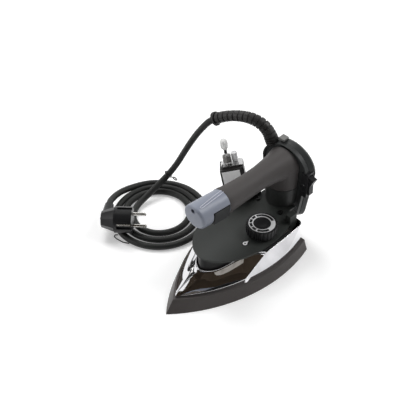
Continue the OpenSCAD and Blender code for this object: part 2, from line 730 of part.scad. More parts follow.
module steam_lever() color([0.04, 0.05, 0.05]) in_nose() difference() {
    union() {
        translate([lever_back, lever_y[0], lever_z[0]])
            cube([lever_face - lever_back, lever_y[1] - lever_y[0], lever_z[1] - lever_z[0]]);
        translate([lever_pin_at[0] - 2.4, lever_pin_at[1] - 2.4, lever_z[0]])
            cube([lever_back - lever_pin_at[0] + 3, 4.4, lever_z[1] - lever_z[0]]);
        translate([peg_x, button_y, -3]) rotate([0, 90, 0]) cylinder(d = 3, h = lever_back - peg_x + 1);
    }
    translate([lever_pin_at[0], lever_pin_at[1], -20]) cylinder(d = lever_pin_d + 2 * fit, h = 40, $fn = 32);
}

module lever_pin() color([0.7, 0.7, 0.7]) in_nose() translate([lever_pin_at[0], lever_pin_at[1], -13.6])
    cylinder(d = lever_pin_d, h = lever_z[1] + 13.6 + 5, $fn = 32);

// A coil spring between two heights along +Z, with its wire's ends buried in flat end turns
module spring(r, wire, h, turns) {
    steps = 8 * turns;
    path = [for (i = [0:steps]) let (a = 45 * i) [r * cos(a), r * sin(a), wire / 2 + (h - wire) * i / steps]];
    tube(path, wire / 2, 6, [0, 0, 1]);
}

module lever_spring() color([0.8, 0.8, 0.8]) in_nose() translate([switch_face, -18, -3])
    rotate([0, 90, 0]) spring(2, 0.6, lever_back - switch_face, 5);

module microswitch() color([0.12, 0.12, 0.14]) in_nose() difference() {
    translate([-4, -31, lever_z[0] + 2.8]) cube([switch_face + 4, 20, 10]);
    translate([-1, button_y - 1.6, -4.6]) cube([9, 3.2, 3.2]);
}

module microswitch_button() color([0.7, 0.1, 0.1]) in_nose()
    translate([0.6, button_y - 1.5, -4.5]) cube([peg_x - 0.9, 3, 3]);

// Outline of the rear flange in X and Z: a wide arch on sides that draw in to a round foot
function arch_points(gx, gz, foot) = concat(
    [for (a = [180:-5:0]) [(arch_half + gx) * cos(a), arch_z + (arch_h + gz) * sin(a)]],
    [for (a = [-foot_turn:-7.5:-90]) [foot_x + (foot_r + foot) * cos(a), foot_z + (foot_r + foot) * sin(a)]],
    [for (a = [-90:-7.5:-180 + foot_turn])
        [-foot_x + (foot_r + foot) * cos(a), foot_z + (foot_r + foot) * sin(a)]]);

module arch_slab(y0, y1, gx, gz, foot) translate([0, y1, 0]) rotate([90, 0, 0]) linear_extrude(y1 - y0)
    polygon(arch_points(gx, gz, foot));

module switch_hole(y0, y1) translate([frame_x[0] - gap, y0, switch_z - frame_half - 0.15])
    cube([30, y1 - y0, 2 * frame_half + 0.3]);

module at_cover_screws() {
    for (side = [-1, 1]) {
        translate([side * 22, 0, arch_z + 11]) children();
        translate([side * 15, 0, foot_z]) children();
    }
}

module rear_flange() color([0.1, 0.1, 0.1]) on_deck() difference() {
    union() {
        difference() {
            arch_slab(flange_y, rear_y, 0, 0, 0);
            arch_slab(flange_y - 1, head_y, -flange_recess, -flange_recess + 2.6, -flange_recess);
        }
        at_cover_screws() translate([0, back_y - cover_wall, 0]) rotate([90, 0, 0])
            cylinder(r = 3.6, h = cover_d - cover_wall);
    }
    switch_hole(flange_y - 1, rear_y + 0.1);
    translate([0, rear_y + 1, 44]) rotate([90, 0, 0]) cylinder(d = 14, h = 7);
    translate([-9, rear_y + 1, 74]) rotate([90, 0, 0]) cylinder(d = 9, h = 7);
    at_cover_screws() translate([0, back_y, 0]) rotate([90, 0, 0]) cylinder(d = 3 + 2 * fit, h = cover_d);
}

module cover_form(inset) hull() {
    arch_slab(rear_y, rear_y + skin_t, 0.5 - inset, -inset, 0.5 - inset);
    arch_slab(rear_y + 6 - skin_t, rear_y + 6, 3.8 - inset, cover_rise - inset, 3.4 - inset);
    arch_slab(back_y - inset - skin_t, back_y - inset, 2.4 - inset, cover_rise - 1.4 - inset, 2 - inset);
}

module rear_cover() color([0.1, 0.1, 0.1]) on_deck() difference() {
    cover_form(0);
    cover_form(cover_wall);
    translate([0, -0.1, 0]) arch_slab(rear_y, rear_y + 0.2, 0.5 - cover_wall, -cover_wall, 0.5 - cover_wall);
    switch_hole(rear_y - 1, frame_y[1] + 0.1);
    at_cover_screws() translate([0, back_y + 1, 0]) rotate([90, 0, 0]) {
        cylinder(d = 3 + 2 * fit, h = cover_wall + 2);
        cylinder(d = 6, h = 2);
    }
}

module rear_cover_screws() color([0.5, 0.5, 0.5]) on_deck() at_cover_screws()
    translate([0, back_y - 1, 0]) rotate([90, 0, 0]) difference() {
        union() {
            translate([0, 0, -0.5]) cylinder(d = 3, h = cover_d - 0.9);
            translate([0, 0, -0.9]) cylinder(d = 5.6, h = 0.9);
        }
        translate([0, 0, -1]) cylinder(d = 2.4, h = 0.9, $fn = 6);
    }

module terminal_block() color([0.85, 0.83, 0.75]) on_deck() translate([-16, rear_y, 4]) difference() {
    cube([32, 6, 14]);
    for (x = [6, 16, 26]) {
        translate([x, 3, -1]) cylinder(d = 3, h = 16, $fn = 24);
        translate([x, 7, 7]) rotate([90, 0, 0]) cylinder(d = 3, h = 4, $fn = 24);
    }
}

module switch_frame() color([0.06, 0.06, 0.06]) on_deck() difference() {
    translate([frame_x[0], frame_y[0], switch_z - frame_half])
        cube([frame_x[1] - frame_x[0], frame_y[1] - frame_y[0], 2 * frame_half]);
    translate([frame_x[0] + 1, (frame_y[0] + frame_y[1]) / 2 - rocker_w / 2 - gap,
        switch_z - rocker_l / 2 - 1.6]) cube([20, rocker_w + 2 * gap, rocker_l + 3.2]);
    translate([rocker_at[0], frame_y[1] + 1, switch_z]) rotate([90, 0, 0])
        cylinder(d = 2.4 + 2 * fit, h = frame_y[1] - frame_y[0] + 2, $fn = 32);
}

// The rocker, tipped with its lower end in
module rocker() color([0.04, 0.04, 0.04]) on_deck()
    translate([rocker_at[0], (frame_y[0] + frame_y[1]) / 2 + rocker_w / 2, rocker_at[1]])
    rotate([0, 10, 0]) rotate([90, 0, 0]) linear_extrude(rocker_w) difference() {
        polygon([[-2.6, -8], [-1, -rocker_l / 2], [10.5, -rocker_l / 2 + 1], [7.5, 0],
            [10.5, rocker_l / 2 - 1], [-1, rocker_l / 2], [-2.6, 8]]);
        circle(d = 2.4 + 2 * fit, $fn = 32);
    }

module rocker_pin() color([0.6, 0.6, 0.6]) on_deck()
    translate([rocker_at[0], frame_y[1] - 0.2, switch_z]) rotate([90, 0, 0])
    cylinder(d = 2.4, h = frame_y[1] - frame_y[0] - 0.4, $fn = 32);

// Turns +Z onto a direction
module aim(d) rotate([0, acos(d[2]), atan2(d[1], d[0])]) children();

// Everything that stands on the rear cover is cut off at its outside
module off_the_cover() difference() {
    children();
    arch_slab(flange_y - 12, back_y + 12, 3.9, cover_rise + 0.05, 3);
}

module gland_block() color([0.35, 0.36, 0.36]) on_deck() off_the_cover()
    translate([-15.5, rear_y - 2.5, arch_z + 26]) cube([9.5, 10, 11]);

// Bend relief: a ribbed root that stands on the cover, wide ribs with narrow slits between them,
// growing thinner along the curve but flaring at the free end, where a flange stands
module strain_relief() color([0.09, 0.09, 0.09]) on_deck() {
    rows = [for (k = [0:relief_ribs - 1], s = [[0, 0], [0.76, 0], [0.8, 1], [0.96, 1]])
        [(k + s[0]) / relief_ribs, s[1] * relief_slit]];
    skin([for (row = rows) let (t = row[0], ahead = bezier(relief_curve, t + 0.01))
        ring_at(bezier(relief_curve, t), t == 0 ? relief_start : unit(ahead - bezier(relief_curve, t - 0.01)),
            relief_d / 2 + relief_swell * (1 - t) + relief_flare * max(0, t - 0.7) - row[1],
            12, [0.3, -1, 0])]);
    translate(relief_curve[3] - 3.4 * relief_end) aim(relief_end) cylinder(d = relief_d + 6.2, h = 3.4);
    off_the_cover() translate(relief_curve[0]) aim(relief_start) {
        translate([0, 0, -9]) cylinder(r = 7.9, h = 9.4);
        for (z = [-8.6, -5.1, -1.6]) translate([0, 0, z]) cylinder(r = 9.1, h = 2.4);
    }
}

stretch_start = relief_curve[3] + [0, deck_y, deck_top];
function coil_r(n, a) = 39.55 + 11.15 * n + (1.85 * n + 1.45) * cos(a - 315);
function coil_point(a) = let (r = coil_r((a - coil_start) / 360, a))
    [coil_at[0] + r * cos(a), coil_at[1] + r * sin(a), cord_r];
coil_angles = [for (i = [0:round(coil_turns * coil_rings)]) coil_start + i * 360 / coil_rings];
coil_path = [for (a = coil_angles) coil_point(a)];
coil_start_dir = unit(coil_path[1] - coil_path[0]);
coil_end = coil_path[len(coil_path) - 1];
coil_end_dir = unit(coil_end - coil_path[len(coil_path) - 2]);
self_gap = min([for (i = [0:len(coil_path) - 1], j = [i + coil_rings / 2:1:len(coil_path) - 1])
    norm(coil_path[j] - coil_path[i])]) - cord_d;
echo(coil_self_gap = self_gap);

// The coil's ends run straight and square, and the free cord meets them there
coil_run = concat([coil_path[0] - 3 * coil_start_dir], coil_path, [coil_end + 3 * coil_end_dir]);

module cord_stretch() color([0.08, 0.08, 0.08])
    tube(concat([stretch_start, stretch_start + 3 * relief_end], stretch_route,
        [coil_run[0] - 2 * coil_start_dir, coil_run[0]]), cord_r, 10, [-0.5, -0.6, 0.6]);

module cord_coil() color([0.08, 0.08, 0.08]) {
    dirs = path_dirs(coil_run);
    skin([for (i = [0:len(coil_run) - 1]) ring_at(coil_run[i], dirs[i], cord_r, 6, [0, 0, 1], 0)]);
}

lead_start = coil_run[len(coil_run) - 1];
plug_axis = [cos(plug_turn), sin(plug_turn), 0];
plug_left = [-sin(plug_turn), cos(plug_turn), 0];
entry_from = plug_at - (plug_back / 2 + 3) * plug_axis;
entry_dir = unit(plug_left + [0, 0, -0.12]);
entry_at = entry_from + entry_l * entry_dir;

module cord_lead() color([0.08, 0.08, 0.08])
    tube(concat([lead_start, lead_start + 2 * coil_end_dir], lead_route, [entry_at + 8 * entry_dir, entry_at]),
        cord_r, 10, [0, 0, 1]);

module plug_body() color([0.09, 0.09, 0.09]) difference() {
    union() {
        in_plug() {
            rotate([0, 90, 0]) cylinder(d = plug_d, h = plug_front);
            translate([-plug_back, 0, 0]) rotate([0, 90, 0])
                cylinder(r1 = plug_d / 2 - 7, r2 = plug_d / 2 - 1, h = plug_back, $fn = 8);
        }
        translate(entry_from) aim(entry_dir) cylinder(r1 = 8, r2 = 6.2, h = entry_l);
    }
    in_plug() {
        for (side = [-1, 1]) rotate([plug_roll, 0, 0]) {
            translate([4, side * plug_d / 2 - 4, -4.5]) cube([plug_front, 8, 9]);
            translate([4, -2.5, side * (plug_d / 2 - 1) - 2]) cube([plug_front, 5, 4]);
            translate([plug_front - 6, 0, side * plug_pin_gap / 2]) rotate([0, 90, 0])
                cylinder(d = plug_pin_d + 2 * fit, h = 9, $fn = 32);
        }
    }
}

module plug_pins() color([0.8, 0.8, 0.8]) in_plug() for (side = [-1, 1]) rotate([plug_roll, 0, 0])
    translate([plug_front - 5.5, 0, side * plug_pin_gap / 2]) rotate([0, 90, 0]) {
        cylinder(d = plug_pin_d, h = plug_pin_l + 5.5 - 1.5, $fn = 32);
        translate([0, 0, plug_pin_l + 4]) cylinder(d1 = plug_pin_d, d2 = plug_pin_d - 2, h = 1.5, $fn = 32);
    }

module plug_earth_clips() color([0.8, 0.8, 0.8]) in_plug() for (side = [-1, 1]) rotate([plug_roll, 0, 0])
    translate([4.2, side * (plug_d / 2 - 3.4) - 0.6, -3]) cube([plug_front - 5, 1.2, 6]);

// Two twist ties: one with its ring round the cord and its end bent back in an eye, and an open
// hairpin on the table
tie_at = [-165.4, 58, 30.8];
tie_dir = unit([-4.3, -7.3, -10.4]);
tie_out = unit([1, 1, 0] - ([1, 1, 0] * tie_dir) * tie_dir);
tie_up = cross(tie_dir, tie_out);
tie_r = cord_r + 1.3;
tie_path = [for (p = concat([for (a = [-18:-27:-342]) [tie_r * cos(a), tie_r * sin(a)]],
    [[tie_r + 2.2, 1.6], [10.4, 3.4], [13.4, 3], [14.8, 0.8], [13.6, -1.5], [11.2, -2.2], [tie_r + 3, -1.9]]))
    tie_at + p[0] * tie_out + p[1] * tie_up];
module cord_ties() color([0.05, 0.05, 0.05]) {
    tube(tie_path, 0.8, 8, tie_dir);
    tube([[-125, -55.3, 0.9], [-133, -59.6, 0.9], [-144, -61.2, 0.9], [-149.3, -60.8, 0.9],
        [-151.2, -57.9, 0.9], [-148.5, -55, 0.9]], 0.8, 8, [0, 0, 1]);
}

module valve_bracket() color([0.12, 0.12, 0.12]) difference() {
    union() {
        on_deck() {
            translate([valve_at[0] - 3, valve_at[1] - 9, 0]) cube([14, 18, 2]);
            translate([-34.6, 70, 0]) cube([9.6, 27, 9]);
        }
        difference() {
            in_valve() translate([0, 0, -6]) cylinder(d = 11, h = 11);
            on_deck() translate([-80, 40, -20]) cube([60, 60, 20]);
        }
    }
    on_deck() translate([valve_at[0] + 4, valve_at[1] - 3, -1]) cylinder(d = 6 + 2 * fit, h = 5);
}

module valve_body() color([0.72, 0.6, 0.35]) in_valve() difference() {
    translate([0, 0, 5]) cylinder(r = 9, h = coil_z - 2.5 - 5, $fn = 6);
    translate([0, 0, plunger_z - 0.1]) cylinder(d = 8.2, h = 9);
    translate([0, 0, 4]) cylinder(d = 2, h = 12, $fn = 24);
}

module valve_coil() color([0.08, 0.08, 0.08]) in_valve() difference() {
    translate([coil_off - coil_w / 2, -coil_w / 2, coil_z]) cube([coil_w, coil_w, coil_h]);
    translate([0, 0, coil_z - 1]) cylinder(d = core_d + 2 * fit, h = coil_h + 2);
}

// The yoke's bright plates, with a bent clip on top that the nut holds down
module valve_yoke() color([0.7, 0.7, 0.7]) in_valve() difference() {
    union() {
        for (z = [coil_z - 2.5, coil_z + coil_h]) translate([-8, -8, z]) cube([coil_off + coil_w / 2 + 10.5, 16, 2.5]);
        translate([coil_off + coil_w / 2, -8, coil_z - 2.5]) cube([2.5, 16, coil_h + 5]);
        translate([0, 5, nut_z - 3.2]) rotate([90, 0, 0]) linear_extrude(10) polygon([[-9.5, -0.1], [-8, -0.1],
            [-5.8, 2.2], [4, 2.2], [4, -0.1], [5.2, -0.1], [5.2, 3.2], [-6.4, 3.2]]);
    }
    translate([0, 0, coil_z - 5]) cylinder(d = core_d + 2 * fit, h = coil_h + 7.6);
    translate([0, 0, nut_z - 2]) cylinder(d = 7 + 2 * fit, h = 4);
    translate([knob_at[0], knob_at[1], coil_z + coil_h - 1]) cylinder(d = 4 + 2 * fit, h = 9);
}

module valve_label() color([0.92, 0.92, 0.92]) in_valve()
    translate([coil_off - coil_w / 2 + 2.2, -coil_w / 2 - 0.5, coil_z + 3]) cube([coil_w - 4.6, 0.5, coil_h - 5]);

module valve_core_tube() color([0.75, 0.75, 0.77]) in_valve() difference() {
    union() {
        translate([0, 0, coil_z - 2.5]) cylinder(d = core_d, h = coil_h + 5);
        translate([0, 0, coil_z + coil_h]) cylinder(d = 7, h = nut_z + 4 - coil_z - coil_h);
    }
    translate([0, 0, coil_z - 4]) cylinder(d = 8.2, h = bore_top - coil_z + 4);
}

module valve_plunger() color([0.6, 0.6, 0.62]) in_valve() translate([0, 0, plunger_z]) {
    cylinder(d = 8, h = plunger_l);
    cylinder(d = 4, h = bore_top - plunger_travel - 0.1 - plunger_z);
}

module plunger_spring() color([0.8, 0.8, 0.8]) in_valve() translate([0, 0, plunger_z + plunger_l])
    spring(3.1, 0.7, bore_top - plunger_z - plunger_l, 7);

module valve_nut() color([0.45, 0.45, 0.45]) in_valve() difference() {
    translate([0, 0, nut_z]) rotate(30) cylinder(r = 6, h = 9, $fn = 6);
    translate([0, 0, nut_z - 1]) cylinder(d = 7 + 2 * fit, h = 5);
    translate([0, 0, nut_z + 3]) cylinder(d = 4.4, h = 9);
}

// Water inlet: a thin stem and a clear bulb that the hose's socket slides over
module inlet_barb() color([0.85, 0.85, 0.85]) in_valve() translate([0, 0, nut_z + 4])
    rotate_extrude($fn = 40) polygon([[0, 0], [2.1, 0], [2.1, 4.4], [1.75, 5], [1.75, 13.5], [3.2, 14.6],
        [4.6, 17], [5, 19], [5, 24], [4.5, 26.5], [3, 28.3], [0, 29]]);

module flow_knob() color([0.85, 0.85, 0.87]) in_valve()
    translate([knob_at[0], knob_at[1], coil_z + coil_h + 2.5]) {
        translate([0, 0, -2.3]) cylinder(d = 4, h = 5);
        translate([0, 0, 0.3]) cylinder(d = 7, h = 3.4, $fn = 6);
        translate([0, 0, 3.6]) cylinder(d = 8.2, h = 9);
    }

// The pipe from the valve down through the deck and across to the chamber, with two bends
pipe_top = [valve_at[0] + 4, valve_at[1] - 3 + deck_y];
pipe_end = [-pocket_half / 2, pocket_end_y - 12];
pipe_bend = 7;
pipe_mid_z = sole_t + 16;
module pipe_run(d, extra) {
    run = pipe_end - pipe_top;
    across = norm(run);
    translate([pipe_top[0], pipe_top[1], pipe_mid_z]) rotate(atan2(run[1], run[0])) {
        translate([0, 0, pipe_bend]) cylinder(d = d, h = deck_top + 1.6 + extra - pipe_mid_z - pipe_bend);
        translate([pipe_bend, 0, pipe_bend]) rotate([90, 0, 0]) rotate(180) rotate_extrude(angle = 90)
            translate([pipe_bend, 0]) circle(d = d);
        translate([pipe_bend, 0, 0]) rotate([0, 90, 0]) cylinder(d = d, h = across - 2 * pipe_bend);
        translate([across - pipe_bend, 0, -pipe_bend]) rotate([90, 0, 0]) rotate_extrude(angle = 90)
            translate([pipe_bend, 0]) circle(d = d);
        translate([across, 0, chamber_top - extra - pipe_mid_z])
            cylinder(d = d, h = pipe_mid_z - pipe_bend - chamber_top + extra);
    }
}

module steam_pipe() color([0.8, 0.55, 0.35]) difference() {
    pipe_run(6, 0);
    pipe_run(4, 1);
}

module switch_leads() color([0.5, 0.1, 0.1]) on_deck() for (x = [-3.4, 3.4])
    tube([[x / 2 - 1, 12, grip_z - 6], [x, 30, grip_z - 8], [x, 60, grip_z - 8], [x, 88, grip_z - 14],
        [x, 104, grip_z - 22], [x, rear_y + 0.5, grip_z - 22], [x, rear_y + 3.5, grip_z - 26],
        [x, rear_y + 3.5, 30], [x, rear_y + 3, 18]], 1, 8, [1, 0, 0.2]);

soleplate();
heating_element();
element_terminals();
chamber_gasket();
chamber_cover();
chamber_screws();
deck_studs();
base_cover();
neck_spacer();
insulation_sheet();
body_plate();
deck_screws();
thermostat();
thermostat_shaft();
thermal_cutout();
dial_knob();
dial_ring();
dial_pointer();
handle_post();
handle_grip();
handle_bolts();
nose_cap();
nose_screw();
steam_lever();
lever_pin();
lever_spring();
microswitch();
microswitch_button();
rear_flange();
rear_cover();
rear_cover_screws();
terminal_block();
switch_frame();
rocker();
rocker_pin();
gland_block();
strain_relief();
cord_stretch();
cord_coil();
cord_lead();
plug_body();
plug_pins();
plug_earth_clips();
cord_ties();
valve_bracket();
valve_body();
valve_coil();
valve_yoke();
valve_label();
valve_core_tube();
valve_plunger();
plunger_spring();
valve_nut();
inlet_barb();
flow_knob();
steam_pipe();
switch_leads();
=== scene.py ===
# Gravity feed steam iron with its coiled cord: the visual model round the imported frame.
import math

import bmesh
import bpy
from mathutils import Matrix, Vector


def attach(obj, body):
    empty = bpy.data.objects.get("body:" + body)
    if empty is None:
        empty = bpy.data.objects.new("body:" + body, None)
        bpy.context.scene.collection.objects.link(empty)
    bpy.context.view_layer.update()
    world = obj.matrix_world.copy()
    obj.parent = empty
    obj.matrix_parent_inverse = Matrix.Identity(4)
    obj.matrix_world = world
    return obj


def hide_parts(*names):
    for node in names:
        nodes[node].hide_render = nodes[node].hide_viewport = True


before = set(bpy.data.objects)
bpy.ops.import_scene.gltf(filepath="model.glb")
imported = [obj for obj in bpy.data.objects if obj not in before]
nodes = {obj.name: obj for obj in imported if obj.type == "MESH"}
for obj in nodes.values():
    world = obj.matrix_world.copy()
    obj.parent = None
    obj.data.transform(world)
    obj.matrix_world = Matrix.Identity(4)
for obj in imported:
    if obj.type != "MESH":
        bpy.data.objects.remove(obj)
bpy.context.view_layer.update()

scene = bpy.context.scene
scene.view_settings.view_transform = "Standard"

# Camera: above the tip's right-hand side, looking down at the iron, the coil and the plug.
# The picture's frame is 420 x 420 and the lens is 800 of its pixels long.
lens_camera = bpy.data.objects.new("lens_camera", bpy.data.cameras.new("lens_camera"))
scene.collection.objects.link(lens_camera)
to_camera = Vector((math.sin(math.radians(44.3)) * math.cos(math.radians(43)),
                    -math.cos(math.radians(44.3)) * math.cos(math.radians(43)), math.sin(math.radians(43))))
picture_right = Vector((math.cos(math.radians(44.3)), math.sin(math.radians(44.3)), 0))
picture_up = to_camera.cross(picture_right)
stand = Vector((0, 0, 0.060)) + 1.007 * to_camera - 0.0186 * picture_right + 0.0346 * picture_up
lens_camera.matrix_world = Matrix.Translation(stand) @ Matrix(
    (picture_right, picture_up, to_camera)).transposed().to_4x4()
lens_camera.data.lens = 36 * 800 / 420
lens_camera.data.clip_start = 0.05
lens_camera.data.clip_end = 20
scene.camera = lens_camera


# Mains cord: round black rubber, 9 mm, about 1.24 m from the bend relief to the plug. It drops
# to the table, runs into a loose coil of nearly three growing turns, and rises into the plug.
MM = 0.001
DECK = 59.0
CORD_R = 4.5


def finish(name, colour, roughness, metallic=0.0, shade=0.1, cloud=45.0, grain=2200.0, bump=0.06,
           spread=0.05, coat=0.0, specular=0.25):
    """A finish whose colour and roughness wander a little, over a fine grain."""
    made = bpy.data.materials.new(name)
    made.use_nodes = True
    tree = made.node_tree
    shader = tree.nodes["Principled BSDF"]
    place = tree.nodes.new("ShaderNodeTexCoord")
    drift = tree.nodes.new("ShaderNodeTexNoise")
    drift.inputs["Scale"].default_value = cloud
    drift.inputs["Detail"].default_value = 4
    tree.links.new(place.outputs["Object"], drift.inputs["Vector"])
    tint = tree.nodes.new("ShaderNodeMix")
    tint.data_type = "RGBA"
    tint.inputs["A"].default_value = [*(c * (1 - shade) for c in colour), 1]
    tint.inputs["B"].default_value = [*(min(1, c * (1 + shade)) for c in colour), 1]
    tree.links.new(drift.outputs["Fac"], tint.inputs["Factor"])
    tree.links.new(tint.outputs["Result"], shader.inputs["Base Color"])
    matt = tree.nodes.new("ShaderNodeMapRange")
    matt.inputs["From Min"].default_value = 0.3
    matt.inputs["From Max"].default_value = 0.7
    matt.inputs["To Min"].default_value = max(0.02, roughness - spread)
    matt.inputs["To Max"].default_value = min(1, roughness + spread)
    tree.links.new(drift.outputs["Fac"], matt.inputs["Value"])
    tree.links.new(matt.outputs["Result"], shader.inputs["Roughness"])
    if bump:
        speck = tree.nodes.new("ShaderNodeTexNoise")
        speck.inputs["Scale"].default_value = grain
        speck.inputs["Detail"].default_value = 3
        tree.links.new(place.outputs["Object"], speck.inputs["Vector"])
        relief = tree.nodes.new("ShaderNodeBump")
        relief.inputs["Strength"].default_value = bump
        relief.inputs["Distance"].default_value = 0.0004
        tree.links.new(speck.outputs["Fac"], relief.inputs["Height"])
        tree.links.new(relief.outputs["Normal"], shader.inputs["Normal"])
    shader.inputs["Metallic"].default_value = metallic
    shader.inputs["Coat Weight"].default_value = coat
    shader.inputs["Coat Roughness"].default_value = 0.15
    shader.inputs["Specular IOR Level"].default_value = specular
    return made


def through(points, steps):
    """A smooth run through the points, with the given steps between neighbours."""
    rows = [Vector(p) for p in points]
    rows = [2 * rows[0] - rows[1], *rows, 2 * rows[-1] - rows[-2]]
    run = []
    for i in range(1, len(rows) - 2):
        a, b, c, d = rows[i - 1:i + 3]
        for k in range(steps):
            t = k / steps
            run.append(0.5 * (2 * b + (c - a) * t + (2 * a - 5 * b + 4 * c - d) * t ** 2
                              + (3 * b - a - 3 * c + d) * t ** 3))
    return [*run, rows[-2]]


def coil_point(angle):
    turns = (angle - 285) / 360
    r = 39.55 + 11.15 * turns + (1.85 * turns + 1.45) * math.cos(math.radians(angle - 315))
    return (-138.5 + r * math.cos(math.radians(angle)), 13 + r * math.sin(math.radians(angle)), CORD_R)


stretch_route = [(-103.1, 87.5, 144.6), (-105.4, 86.5, 142.9), (-111.4, 83.7, 136.7), (-120.6, 80.7, 123.2),
                 (-129.6, 77.5, 107.6), (-138.2, 74.3, 90.4), (-146.2, 71.4, 73.1), (-153.6, 68.3, 56.4),
                 (-160.2, 64.2, 42.2), (-165.4, 58, 30.8), (-168.6, 49, 22.6), (-170, 38, 17.2),
                 (-170.7, 26, 12.3), (-170.7, 12, 8), (-169.6, 1.5, 5.7), (-166, -7.6, 4.6), (-160, -15.6, CORD_R),
                 (-152.2, -21.8, CORD_R), (-143.9, -25.4, CORD_R), (-135.8, -26.8, CORD_R)]
coil_route = [coil_point(285 + 15 * i) for i in range(63)]
lead_route = [(-192.7, 45.6, 4.8), (-199, 31, 6.3), (-202, 14.5, 9), (-201.4, -1, 12.6), (-197.6, -15, 16.6),
              (-191.4, -28, 20.4), (-187.3, -33.4, 22.4), (-182.2, -38.9, 23.6)]
cord_line = through([*stretch_route, *coil_route, *lead_route], 5)
rubber = finish("cord_rubber", (0.018, 0.019, 0.018), 0.45, shade=0.2, cloud=60, bump=0.12)
cord_curve = bpy.data.curves.new("mains_cord", "CURVE")
cord_curve.dimensions = "3D"
cord_curve.bevel_depth = CORD_R * MM
cord_curve.bevel_resolution = 5
cord_curve.use_fill_caps = True
strand = cord_curve.splines.new("POLY")
strand.points.add(len(cord_line) - 1)
for point, where in zip(strand.points, cord_line):
    point.co = (*(where * MM), 1)
strand.use_smooth = True
cord_curve.materials.append(rubber)
mains_cord = bpy.data.objects.new("mains_cord", cord_curve)
scene.collection.objects.link(mains_cord)
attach(mains_cord, "iron")
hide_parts("cord_stretch", "cord_coil", "cord_lead")


# Plug: an earthed round plug of hard black rubber with its cord out of one side, two round
# pins and a spring strip for earth along each side. It lies on the coil.
def settle(name, bm, material, body="iron", instead_of=(), sharp=35):
    """Makes a piece of a bmesh in millimetres, and puts it on its body."""
    bmesh.ops.scale(bm, vec=(MM, MM, MM), verts=bm.verts)
    mesh = bpy.data.meshes.new(name)
    bm.to_mesh(mesh)
    bm.free()
    return settle_mesh(name, mesh, material, body, instead_of, sharp)


def settle_mesh(name, mesh, material, body, instead_of, sharp):
    mesh.materials.clear()
    mesh.materials.append(material)
    mesh.shade_smooth()
    mesh.set_sharp_from_angle(angle=math.radians(sharp))
    piece = bpy.data.objects.new(name, mesh)
    scene.collection.objects.link(piece)
    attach(piece, body)
    if instead_of:
        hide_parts(*instead_of)
    return piece


def rounded(name, node, material, edge, body="iron", segments=2, sharp=35):
    """The node's own shape, merged and with its edges rounded off, in place of the node."""
    bm = bmesh.new()
    bm.from_mesh(nodes[node].data)
    bmesh.ops.remove_doubles(bm, verts=bm.verts, dist=0.00002)
    bmesh.ops.dissolve_limit(bm, angle_limit=math.radians(0.6), verts=bm.verts, edges=bm.edges,
                             use_dissolve_boundaries=False)
    mesh = bpy.data.meshes.new(name)
    bm.to_mesh(mesh)
    bm.free()
    piece = settle_mesh(name, mesh, material, body, (node,), sharp)
    if edge:
        soft = piece.modifiers.new("edges", "BEVEL")
        soft.width = edge * MM
        soft.segments = segments
        soft.limit_method = "ANGLE"
        soft.angle_limit = math.radians(32)
        soft.use_clamp_overlap = True
        soft.harden_normals = True
    return piece


plug_black = finish("plug_black", (0.012, 0.012, 0.013), 0.3, shade=0.15, bump=0.03)
pin_nickel = finish("pin_nickel", (0.74, 0.73, 0.7), 0.2, metallic=1.0, shade=0.08, bump=0.02)
plug_shell = rounded("plug_shell", "plug_body", plug_black, 1.1, segments=3)
plug_prongs = rounded("plug_prongs", "plug_pins", pin_nickel, 0.3)
plug_strips = rounded("plug_strips", "plug_earth_clips", pin_nickel, 0.3)
in_plug = Matrix.Translation((-152, -54.5, 27.4)) @ Matrix.Rotation(math.radians(42), 4, "Z")
for side in (1, -1):
    strip = [v for v in plug_strips.data.vertices if (in_plug.inverted() @ (v.co / MM)).y * side > 0]
    level = sum(v.co.z for v in strip) / len(strip)
    for v in strip:
        v.co.z = level + 0.4 * (v.co.z - level) + 1.3 * MM
bm = bmesh.new()
for i in range(4):
    groove = Matrix.Translation((-160.92, -62.53, 27.4)) @ Vector(
        (-0.6644, 0.7378, -0.1191)).to_track_quat("Z", "Y").to_matrix().to_4x4() @ Matrix.Translation((0, 0, 19 + 3.6 * i))
    ring = bmesh.ops.create_circle(bm, segments=32, radius=6.95 - 0.2 * i, matrix=groove)["verts"]
    edges = list({e for v in ring for e in v.link_edges})
    lift = Vector((-0.6644, 0.7378, -0.1191)) * 1.7
    top = bmesh.ops.extrude_edge_only(bm, edges=edges)["geom"]
    bmesh.ops.translate(bm, vec=lift, verts=[g for g in top if isinstance(g, bmesh.types.BMVert)])
    bmesh.ops.holes_fill(bm, edges=bm.edges, sides=32)
bmesh.ops.recalc_face_normals(bm, faces=bm.faces)
plug_sleeve_ribs = settle("plug_sleeve_ribs", bm, plug_black)

# Twist ties: thin coated wire, one round the cord where it nears the table, one open on the
# table beside the plug.
tie_black = finish("tie_black", (0.02, 0.02, 0.02), 0.4, bump=0.02)
twist_ties = rounded("twist_ties", "cord_ties", tie_black, 0, sharp=60)


# Bend relief: a moulded rubber sleeve with ribs all along it and a flange at its free end,
# on a straight stub that comes out of the gland block on top of the rear cover.
def sweep(bm, points, radii, sides, side):
    """Rings across the points, each joined to the next, with both ends closed."""
    before = None
    for i, (point, radius) in enumerate(zip(points, radii)):
        along = (points[min(i + 1, len(points) - 1)] - points[max(i - 1, 0)]).normalized()
        across = along.cross(side).normalized()
        frame_at = Matrix((across, across.cross(along), along)).transposed().to_4x4()
        ring = bmesh.ops.create_circle(bm, cap_ends=i in (0, len(points) - 1), segments=sides, radius=radius,
                                       matrix=Matrix.Translation(point) @ frame_at)["verts"]
        edges = list({e for v in ring for e in v.link_edges})
        if before:
            bmesh.ops.bridge_loops(bm, edges=before + edges)
        before = edges


def bezier(p, t):
    a, b, c, d = (Vector(q) for q in p)
    return (1 - t) ** 3 * a + 3 * (1 - t) ** 2 * t * b + 3 * (1 - t) * t * t * c + t ** 3 * d


